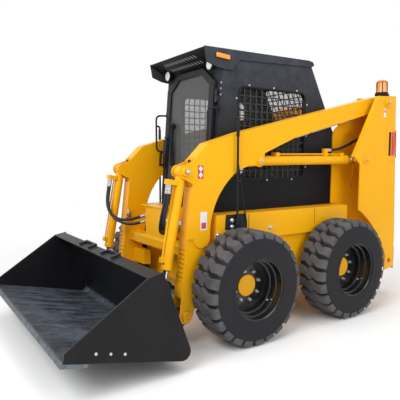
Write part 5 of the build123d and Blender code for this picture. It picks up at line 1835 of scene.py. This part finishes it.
# --- boom
@dataclass
class Boom:
    """Pins, plates, nuts and pipes of the boom, and the welds and bolts of its cross beam."""

    outer: float = 0.520
    tilt_head: Pair = (-0.648, 1.159)
    lift_head: Pair = (-0.020, 1.230)
    hinge: Pair = (-0.640, 0.202)
    pin_x: float = 0.5355
    hinge_x: float = 0.5255
    pipe_x: float = 0.497
    pipe_radius: float = 0.0045

    def pins(self, side: int) -> None:
        """Builds the pin ends and their rings on one side.

        Args:
            side: 1 for left, -1 for right.
        """
        hand = HANDS[side]
        steel, rings = Shape(), Shape()
        at = aim((side * self.pin_x, *self.tilt_head), (side, 0, 0))
        steel.lathe([(0.015, -0.002), (0.015, 0.020), (0.013, 0.022), (0.010, 0.022), (0.010, 0.034),
                     (0.0085, 0.036), (0, 0.036)], at, 28)
        rings.lathe([(0.030, -0.001), (0.030, 0.003), (0.027, 0.006), (0.016, 0.006), (0.016, 0.0)], at, 36)
        at = aim((side * self.pin_x, *self.lift_head), (side, 0, 0))
        rings.lathe([(0.030, -0.001), (0.030, 0.004), (0.027, 0.007), (0.014, 0.007), (0.013, 0.0)], at, 36)
        steel.hex_bolt(at @ moved(0, 0, 0.004), 0.0115, 0.009, 1.2)
        at = aim((side * self.hinge_x, *self.hinge), (side, 0, 0))
        rings.lathe([(0.0365, -0.001), (0.0365, 0.006), (0.0335, 0.009), (0.025, 0.009), (0.0225, 0.003),
                     (0, 0.003)], at, 40)
        rings.hex_bolt(at @ moved(0, 0, 0.002), 0.010, 0.007, 1.2)
        steel.build(f"pin_ends_{hand}", FINISH.plated, Slot.CHROME, Body.BOOM.value)
        rings.build(f"pin_rings_{hand}", FINISH.yellow, Slot.YELLOW, Body.BOOM.value)

    def plates(self) -> None:
        """Builds the two small blank plates on the left arm."""
        red, white = FINISH.label_red, FINISH.label
        for name, at, width, height, first, second in (
            ("upper", (-0.530, 1.157), 0.044, 0.088, red, white),
            ("lower", (-0.505, 0.831), 0.054, 0.122, white, red),
        ):
            place = plate_place((self.outer, *at), (0, 1, 0), (1, 0, 0))
            base, patch = Shape(), Shape()
            base.rounded(width, height, 0.0012, 0.006, place, 0.0004)
            if name == "upper":
                for up in (0.022, -0.020):
                    patch.prism([(0.0, up - 0.020), (0.018, up), (0.0, up + 0.020), (-0.018, up)], 0.0004,
                                place @ moved(0, 0, 0.0012))
            else:
                patch.rounded(width * 0.7, height * 0.34, 0.0004, 0.004,
                              place @ moved(0, -height * 0.24, 0.0012))
            base.build(f"blank_plate_{name}", first, Slot.YELLOW, Body.BOOM.value)
            patch.build(f"blank_plate_{name}_field", second, Slot.YELLOW, Body.BOOM.value)

    def nose(self, side: int) -> None:
        """Builds the folded cover plate on the arm's nose, with a black patch that paints the shade inside
        its opening.

        Args:
            side: 1 for left, -1 for right.
        """
        hand = HANDS[side]
        place = skin("boom_arms", (side * 0.470, -0.80, 1.35), (0, 0.8, -0.6))
        turned = plate_place(tuple(place.translation), (1, 0, 0), tuple(place.to_3x3().col[2]))
        cover, opening_shade = Shape(), Shape()
        cover.rounded(0.060, 0.120, 0.004, 0.006, turned, 0.001)
        # black patch: painted shade inside the cover's opening
        opening_shade.rounded(0.034, 0.040, 0.0046, 0.004, turned @ moved(0, 0.030, 0), 0.0)
        cover.build(f"nose_cover_{hand}", FINISH.yellow, Slot.YELLOW, Body.BOOM.value)
        opening_shade.build(f"nose_opening_shade_{hand}", FINISH.seal, Slot.BLACK, Body.BOOM.value)

    def leg(self, side: int) -> None:
        """Builds the stack of nuts and its adaptor on the leg's inner side.

        Args:
            side: 1 for left, -1 for right.
        """
        hand = HANDS[side]
        at = skin("boom_arms", (side * 0.40, -0.615, 0.800), (side, 0, 0))
        steel, brass = Shape(), Shape()
        middle = at.translation + Vector((-side * 0.016, 0, 0))
        for z, radius in ((0.815, 0.013), (0.800, 0.0105)):
            steel.hex_bolt(moved(middle.x, middle.y, z), radius, 0.014, 1.05)
        for z, radius in ((0.780, 0.014), (0.764, 0.0125)):
            brass.hex_bolt(moved(middle.x, middle.y, z), radius, 0.015, 1.05)
        foot = plate_place((middle.x, middle.y, 0.758), (1, 0, 0), (0, 0, 1))
        brass.rounded(0.034, 0.050, 0.006, 0.005, foot)
        steel.build(f"leg_nuts_{hand}", FINISH.plated, Slot.CHROME, Body.BOOM.value)
        brass.build(f"leg_adaptor_{hand}", FINISH.brass, Slot.CHROME, Body.BOOM.value)

    def pipe(self, side: int) -> None:
        """Builds the thin pipe under the arm's rear half, with its clips and its joint.

        Args:
            side: 1 for left, -1 for right.
        """
        hand = HANDS[side]
        x = side * self.pipe_x
        spots: List[Vector] = []
        for y in (0.36, 0.52, 0.68, 0.84, 1.00, 1.14):
            found = skin("boom_arms", (x, y, 0.90), (0, 0, 1))
            spots.append(Vector((x, y, found.translation.z - 0.0065)))
        line, clips, joint = Shape(), Shape(), Shape()
        line.tube([tuple(p) for p in spots], self.pipe_radius, 10)
        for p in spots[1::2]:
            clip = plate_place((p.x, p.y, p.z - 0.006), (0, 1, 0), (0, 0.2, 1))
            clips.rounded(0.016, 0.014, 0.010, 0.003, clip)
        along = spots[5] - spots[4]
        joint.lathe([(0.0055, -0.02), (0.0085, -0.018), (0.0085, 0.018), (0.0055, 0.02)],
                    aim(tuple(spots[4]), tuple(along)), 14)
        line.build(f"arm_pipe_{hand}", FINISH.plated, Slot.CHROME, Body.BOOM.value)
        clips.build(f"arm_pipe_clips_{hand}", FINISH.black, Slot.BLACK, Body.BOOM.value)
        joint.build(f"arm_pipe_joint_{hand}", FINISH.green, Slot.CHROME, Body.BOOM.value)

    def beam(self) -> None:
        """Builds the weld beads and bolts of the cross beam."""
        welds = Shape()
        for side in SIDES:
            x = side * 0.4195
            for a, b in (((x, -0.601, 0.575), (x, -0.601, 0.655)), ((x, -0.600, 0.656), (x, -0.497, 0.656))):
                welds.bead(a, b, 0.004)
        welds.bead((-0.150, -0.591, 0.656), (0.150, -0.591, 0.656), 0.004)
        welds.build("beam_welds", FINISH.yellow, Slot.YELLOW, Body.BOOM.value)
        bolts("cover_bolts", "cross_beam", [(x, -0.9, 0.865) for x in (-0.128, 0.128)], (0, 1, 0), 0.007,
              Body.BOOM.value, dome=True)

    def build(self) -> None:
        """Builds all the boom's small pieces."""
        for side in SIDES:
            self.pins(side)
            self.nose(side)
            self.leg(side)
            self.pipe(side)
        self.plates()
        self.beam()


# --- cylinders
@dataclass
class Cylinders:
    """Glands, wipers and grease nipples of the lift and tilt cylinders."""

    lift_head: Point = (0.470, -0.020, 1.230)
    lift_foot: Point = (0.470, 1.071, 1.238)
    tilt_head: Point = (0.470, -0.648, 1.159)
    tilt_foot: Point = (0.470, -0.782, 0.428)
    lift_reach: float = 1.008
    tilt_reach: float = 0.640

    def trim(self, kind: str, side: int, start: Point, end: Point, reach: float, radius: float, rod: float,
             nose: float) -> None:
        """Builds the gland, the wiper and the grease nipple of one cylinder.

        Args:
            kind: lift or tilt.
            side: 1 for left, -1 for right.
            start: pin of the barrel, on the left side.
            end: pin of the rod, on the left side.
            reach: from the barrel's pin to its mouth.
            radius: the barrel's.
            rod: the rod's radius.
            nose: how far the gland stands out of the mouth.
        """
        hand = HANDS[side]
        a = Vector((side * start[0], start[1], start[2]))
        b = Vector((side * end[0], end[1], end[2]))
        along = (b - a).normalized()
        mouth = a + along * reach
        body = f"{kind}_barrel_{hand}"
        place = aim(tuple(mouth), tuple(along))
        gland, wiper, nipple = Shape(), Shape(), Shape()
        gland.lathe([(radius * 0.96, -0.030), (radius * 1.05, -0.029), (radius * 1.05, -0.006),
                     (radius * 0.98, -0.002), (radius * 0.9, nose), (rod * 1.25, nose + 0.001),
                     (rod * 1.25, -0.006)], place, 48)
        wiper.lathe([(rod * 1.28, nose - 0.004), (rod * 1.28, nose + 0.002), (rod * 1.06, nose + 0.006),
                     (rod * 1.03, nose + 0.003)], place, 36)
        side_way = Vector((side, 0, 0)).cross(along).normalized()
        at = aim(tuple(a + side_way * 0.036), tuple(side_way))
        nipple.lathe([(0.005, -0.004), (0.005, 0.004), (0.003, 0.006), (0.0035, 0.010), (0, 0.011)], at, 12)
        gland.build(f"{kind}_gland_{hand}", FINISH.yellow, Slot.YELLOW, body)
        wiper.build(f"{kind}_wiper_{hand}", FINISH.seal, Slot.BLACK, body)
        nipple.build(f"{kind}_nipple_{hand}", FINISH.plated, Slot.CHROME, body)

    def build(self) -> None:
        """Builds the trim of all four cylinders."""
        for side in SIDES:
            self.trim("lift", side, self.lift_head, self.lift_foot, self.lift_reach, 0.036, 0.020, 0.016)
            self.trim("tilt", side, self.tilt_head, self.tilt_foot, self.tilt_reach, 0.033, 0.0175, 0.003)


# --- bucket
@dataclass
class Bucket:
    """Bolts of the bucket's cheeks."""

    half: float = 0.848

    def build(self) -> None:
        """Builds the bolts of both cheeks."""
        spots = [(self.half + 0.2, y, z) for y, z in ((-1.395, 0.255), (-1.315, 0.235), (-1.235, 0.215))]
        for side in SIDES:
            bolts(f"cheek_bolts_{HANDS[side]}", "bucket_shell", [(side * x, y, z) for x, y, z in spots],
                  (-side, 0, 0), 0.009, Body.BUCKET.value, dome=True)


# --- chassis and towers
@dataclass
class Chassis:
    """Bolts and seams of the side boxes, and the towers' pins, screens, lamps, label and beacon."""

    box_side: float = 0.525
    box_bolts: Tuple[Pair, ...] = ((-0.391, 0.728), (0.090, 0.740), (0.930, 0.730))
    pivot: Pair = (1.342, 1.724)
    lift_foot: Pair = (1.071, 1.238)
    beacon_at: Pair = (0.490, 1.422)

    def boxes(self, side: int) -> None:
        """Builds the seams and bolts of one side box.

        Args:
            side: 1 for left, -1 for right.
        """
        hand = HANDS[side]
        bolts(f"box_bolts_{hand}", "chassis", [(side * 0.80, y, z) for y, z in self.box_bolts],
              (-side, 0, 0), 0.013)
        seam = Shape()
        for y in (-0.120, 0.560):
            place = plate_place((side * self.box_side, y, 0.795), (0, 1, 0), (side, 0, 0))
            seam.rounded(0.004, 0.120, 0.0006, 0.0015, place, 0.0)
        seam.build(f"box_seams_{hand}", FINISH.seal, Slot.BLACK)

    def tower(self, side: int) -> None:
        """Builds the pin ends and the bolt of one tower.

        Args:
            side: 1 for left, -1 for right.
        """
        hand = HANDS[side]
        steel, rings = Shape(), Shape()
        for (y, z), x, radius in ((self.pivot, 0.6135, 0.030), (self.lift_foot, 0.6115, 0.022)):
            at = aim((side * x, y, z), (side, 0, 0))
            rings.lathe([(radius, -0.004), (radius, 0.004), (radius - 0.003, 0.007), (radius * 0.5, 0.007)],
                        at, 40)
            steel.lathe([(radius * 0.44, 0.004), (radius * 0.44, 0.016), (radius * 0.3, 0.018)], at, 28)
            steel.hex_bolt(at @ moved(0, 0, 0.016), radius * 0.38, 0.009, 1.05)
        steel.build(f"tower_pin_bolts_{hand}", FINISH.plated, Slot.CHROME)
        rings.build(f"tower_pin_rings_{hand}", FINISH.yellow, Slot.YELLOW)
        bolts(f"tower_bolts_{hand}", "tower_inner", [(side * 0.52, 1.167, 1.010)], (-side, 0, 0), 0.009)

    def screen(self, side: int) -> None:
        """Builds the thin sheet that closes one inner plate's openings from inside.

        Args:
            side: 1 for left, -1 for right.
        """
        sheet = Shape()
        place = plate_place((side * 0.3798, 1.135, 1.375), (0, 1, 0), (-side, 0, 0))
        sheet.rounded(0.300, 0.420, 0.0025, 0.02, place, 0.0005)
        sheet.build(f"tower_screen_{HANDS[side]}", FINISH.yellow, Slot.YELLOW)

    def tail_lamps(self) -> None:
        """Builds the tail lamps with their backs, which stand for their CAD blocks."""
        red, amber, backs = Shape(), Shape(), Shape()
        low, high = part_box("tail_lamps")
        for side in SIDES:
            x = side * (high.x - 0.043)
            tilt = Vector((0, -0.0125, 0.25)).normalized()
            foot = Vector((x, high.y - 0.026, low.z + 0.004))
            out = Vector((0, tilt.z, -tilt.y))
            back = plate_place(tuple(foot + tilt * 0.121 - out * 0.014), (1, 0, 0), tuple(out))
            backs.rounded(0.086, 0.246, 0.020, 0.008, back, 0.002)
            for shape, start, height in ((amber, 0.010, 0.070), (red, 0.084, 0.152)):
                middle = foot + tilt * (start + height / 2) + out * 0.006
                place = plate_place(tuple(middle), (1, 0, 0), tuple(out))
                shape.rounded(0.072, height, 0.014, 0.008, place, 0.004)
                for rib in range(int(height / 0.012)):
                    shape.rounded(0.062, 0.004, 0.0155, 0.0015,
                                  place @ moved(0, -height / 2 + 0.010 + rib * 0.0115, 0), 0.001)
        for piece in (red.build("tail_lens_red", FINISH.red, Slot.RED),
                      amber.build("tail_lens_amber", FINISH.amber, Slot.AMBER),
                      backs.build("tail_lamp_backs", FINISH.black, Slot.BLACK)):
            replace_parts(piece, "tail_lamps")

    def side_lamps(self) -> None:
        """Builds the slotted brackets with their lenses beside the towers' rear edges, and a black strip that
        paints the shade in each slot.
        """
        for side in SIDES:
            hand = HANDS[side]
            place = skin("tower_outer", (side * 0.80, 1.420, 1.365), (-side, 0, 0))
            at = plate_place(tuple(place.translation), (0, 1, 0), (side, 0, 0))
            plate, slot, lens = Shape(), Shape(), Shape()
            plate.rounded(0.120, 0.270, 0.0045, 0.006, at, 0.001)
            # black strip: painted shade in the bracket's slot
            slot.rounded(0.030, 0.205, 0.0050, 0.006, at @ moved(-0.018, 0.010, 0), 0.0)
            lens.rounded(0.040, 0.205, 0.0120, 0.006, at @ moved(0.030, 0.012, 0), 0.004)
            for rib in range(15):
                lens.rounded(0.034, 0.004, 0.0135, 0.0015,
                             at @ moved(0.030, -0.078 + rib * 0.0128, 0), 0.001)
            plate.build(f"side_lamp_plate_{hand}", FINISH.yellow, Slot.YELLOW)
            slot.build(f"side_lamp_slot_shade_{hand}", FINISH.seal, Slot.BLACK)
            lens.build(f"side_lamp_lens_{hand}", FINISH.red, Slot.RED)

    def beacon(self) -> None:
        """Builds the beacon with its guard bars and plug, which stand for its CAD solid."""
        low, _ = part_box("beacon")
        x, y = self.beacon_at
        dome, base, bars, plug, inner = Shape(), Shape(), Shape(), Shape(), Shape()
        at = moved(x, y, low.z)
        base.rounded(0.058, 0.062, 0.016, 0.006, at @ moved(0, 0.015, 0), 0.001)
        base.lathe([(0, 0.014), (0.055, 0.014), (0.057, 0.018), (0.057, 0.034), (0.053, 0.041), (0, 0.041)],
                   at, 48)
        profile = [(0.050, 0.038)]
        for rib in range(7):
            slim, up = rib * 0.0008, rib * 0.012
            profile += [(0.0495 - slim, 0.048 + up), (0.0480 - slim, 0.054 + up)]
        profile += [(0.0440, 0.130), (0.040, 0.141), (0.030, 0.148), (0.016, 0.1515), (0, 0.152)]
        dome.lathe(profile, at, 48)
        for step in range(6):
            turn = 2 * math.pi * (step + 0.15) / 6
            spot = at @ Matrix.Rotation(turn, 4, "Z") @ moved(0.0495, 0, 0.036)
            bars.rounded(0.0045, 0.010, 0.092, 0.0015, spot, 0.001)
        inner.lathe([(0.046, 0.128), (0.048, 0.131), (0.046, 0.135)], at, 40)
        plug.rounded(0.030, 0.026, 0.026, 0.004, at @ moved(0.012, 0.066, 0.004), 0.003)
        plug.rounded(0.018, 0.030, 0.014, 0.003, at @ moved(0.012, 0.048, 0.008), 0.002)
        for piece in (dome.build("beacon_dome", FINISH.amber, Slot.AMBER),
                      base.build("beacon_base", FINISH.seal, Slot.BLACK),
                      bars.build("beacon_bars", FINISH.cast, Slot.BLACK),
                      inner.build("beacon_band", FINISH.red, Slot.RED),
                      plug.build("beacon_plug", FINISH.blue, Slot.BLACK)):
            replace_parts(piece, "beacon")

    def label(self) -> None:
        """Builds the small blank label under the left pivot."""
        place = skin("tower_outer", (0.80, 1.321, 1.635), (-1, 0, 0))
        at = plate_place(tuple(place.translation), (0, 1, 0), (1, 0, 0))
        shape, patch = Shape(), Shape()
        shape.rounded(0.030, 0.070, 0.0012, 0.004, at, 0.0004)
        patch.rounded(0.020, 0.022, 0.0004, 0.003, at @ moved(0, 0.014, 0.0012))
        shape.build("blank_label", FINISH.label, Slot.YELLOW)
        patch.build("blank_label_field", FINISH.label_red, Slot.YELLOW)

    def build(self) -> None:
        """Builds all the small pieces of the chassis and the towers."""
        for side in SIDES:
            self.boxes(side)
            self.tower(side)
            self.screen(side)
        self.tail_lamps()
        self.side_lamps()
        self.beacon()
        self.label()


# --- rear
@dataclass
class Rear:
    """Louvres and latch of the rear door, and the hood's screws."""

    pitch: float = 0.040
    upper_rows: float = 0.980
    lower_rows: float = 0.600
    half_width: float = 0.239

    def build(self) -> None:
        """Builds the pressed louvres, the latch and the hood's screws."""
        louvres = Shape()
        rows = [self.upper_rows + (row - 3.5) * self.pitch for row in range(8)]
        rows += [self.lower_rows + (row - 1.5) * self.pitch for row in range(4)]
        for z in rows:
            blade = [(-0.006, 1.450), (-0.009, 1.453), (0.006, 1.482), (0.0095, 1.481), (0.0095, 1.477)]
            louvres.loft([[(x, y, z + up) for up, y in blade] for x in (-self.half_width, self.half_width)])
        louvres.build("rear_louvres", FINISH.yellow, Slot.YELLOW, Body.REAR_DOOR.value)
        latch, key = Shape(), Shape()
        place = skin("rear_door", (-0.285, 1.9, 0.840), (0, -1, 0))
        at = plate_place(tuple(place.translation), (-1, 0, 0), (0, 1, 0))
        latch.rounded(0.060, 0.120, 0.004, 0.010, at, 0.001)
        latch.rounded(0.020, 0.084, 0.014, 0.008, at @ moved(0, 0.006, 0.003), 0.004)
        key.lathe([(0.008, 0), (0.008, 0.004), (0.006, 0.006), (0, 0.006)], at @ moved(0, -0.048, 0.003),
                  20)
        latch.build("rear_latch", FINISH.seal, Slot.BLACK, Body.REAR_DOOR.value)
        key.build("rear_latch_key", FINISH.plated, Slot.CHROME, Body.REAR_DOOR.value)
        bolts("hood_screws", "engine_hood", [(x, y, 1.6) for x in (-0.33, 0.33) for y in (1.05, 1.22, 1.40)],
              (0, 0, -1), 0.008, Body.HOOD.value, dome=True)


# --- main
def dress_frame() -> None:
    """Gives every shown frame node its finish."""
    nodes = frame["nodes"]
    dress(("chassis", "tower_inner", "tower_outer", "tower_backs", "rear_bumper", "boom_arms", "cross_beam",
           "engine_hood", "rear_door"), FINISH.yellow)
    dress([n for n in nodes if n.startswith(("lift_barrel", "tilt_barrel"))], FINISH.yellow)
    dress([n for n in nodes if n.startswith(("lift_rod", "tilt_rod"))], FINISH.chrome)
    dress(("window_mesh",), FINISH.mesh)
    dress(("axle_tubes", "rails", "lid_hinges", "quick_hitch", "door_frame", "door_fittings",
           "cab_floor"), FINISH.black)
    dress(("cab_frame", "cab_sides", "cab_rear", "cab_roof"), FINISH.cab)
    dress(("bucket_shell",), FINISH.bucket)
    dress(("cutting_edge",), FINISH.edge_steel)
    dress(("engine_block",), FINISH.cast)
    dress(("cab_glass",), FINISH.glass)
    dress(("door_glass",), FINISH.door_glass)
    dress(("operator_station",), FINISH.console)
    dress(("seat_cushion", "seat_back"), FINISH.seat)
    dress(("marker_lamps", "beacon"), FINISH.amber)
    dress(("tail_lamps",), FINISH.red)
    dress(("work_lamps",), FINISH.clear)


def main() -> None:
    """Builds the whole scene."""
    logging.basicConfig(level=logging.INFO, format="%(name)s: %(message)s")
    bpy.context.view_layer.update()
    Studio().build()
    Hoses().build()
    dress_frame()
    for corner in ("front_left", "front_right", "rear_left", "rear_right"):
        Wheel(corner).build()
    for group in (Cab(), Seat(), Boom(), Cylinders(), Bucket(), Chassis(), Rear()):
        group.build()


if __name__ == "__main__":
    main()
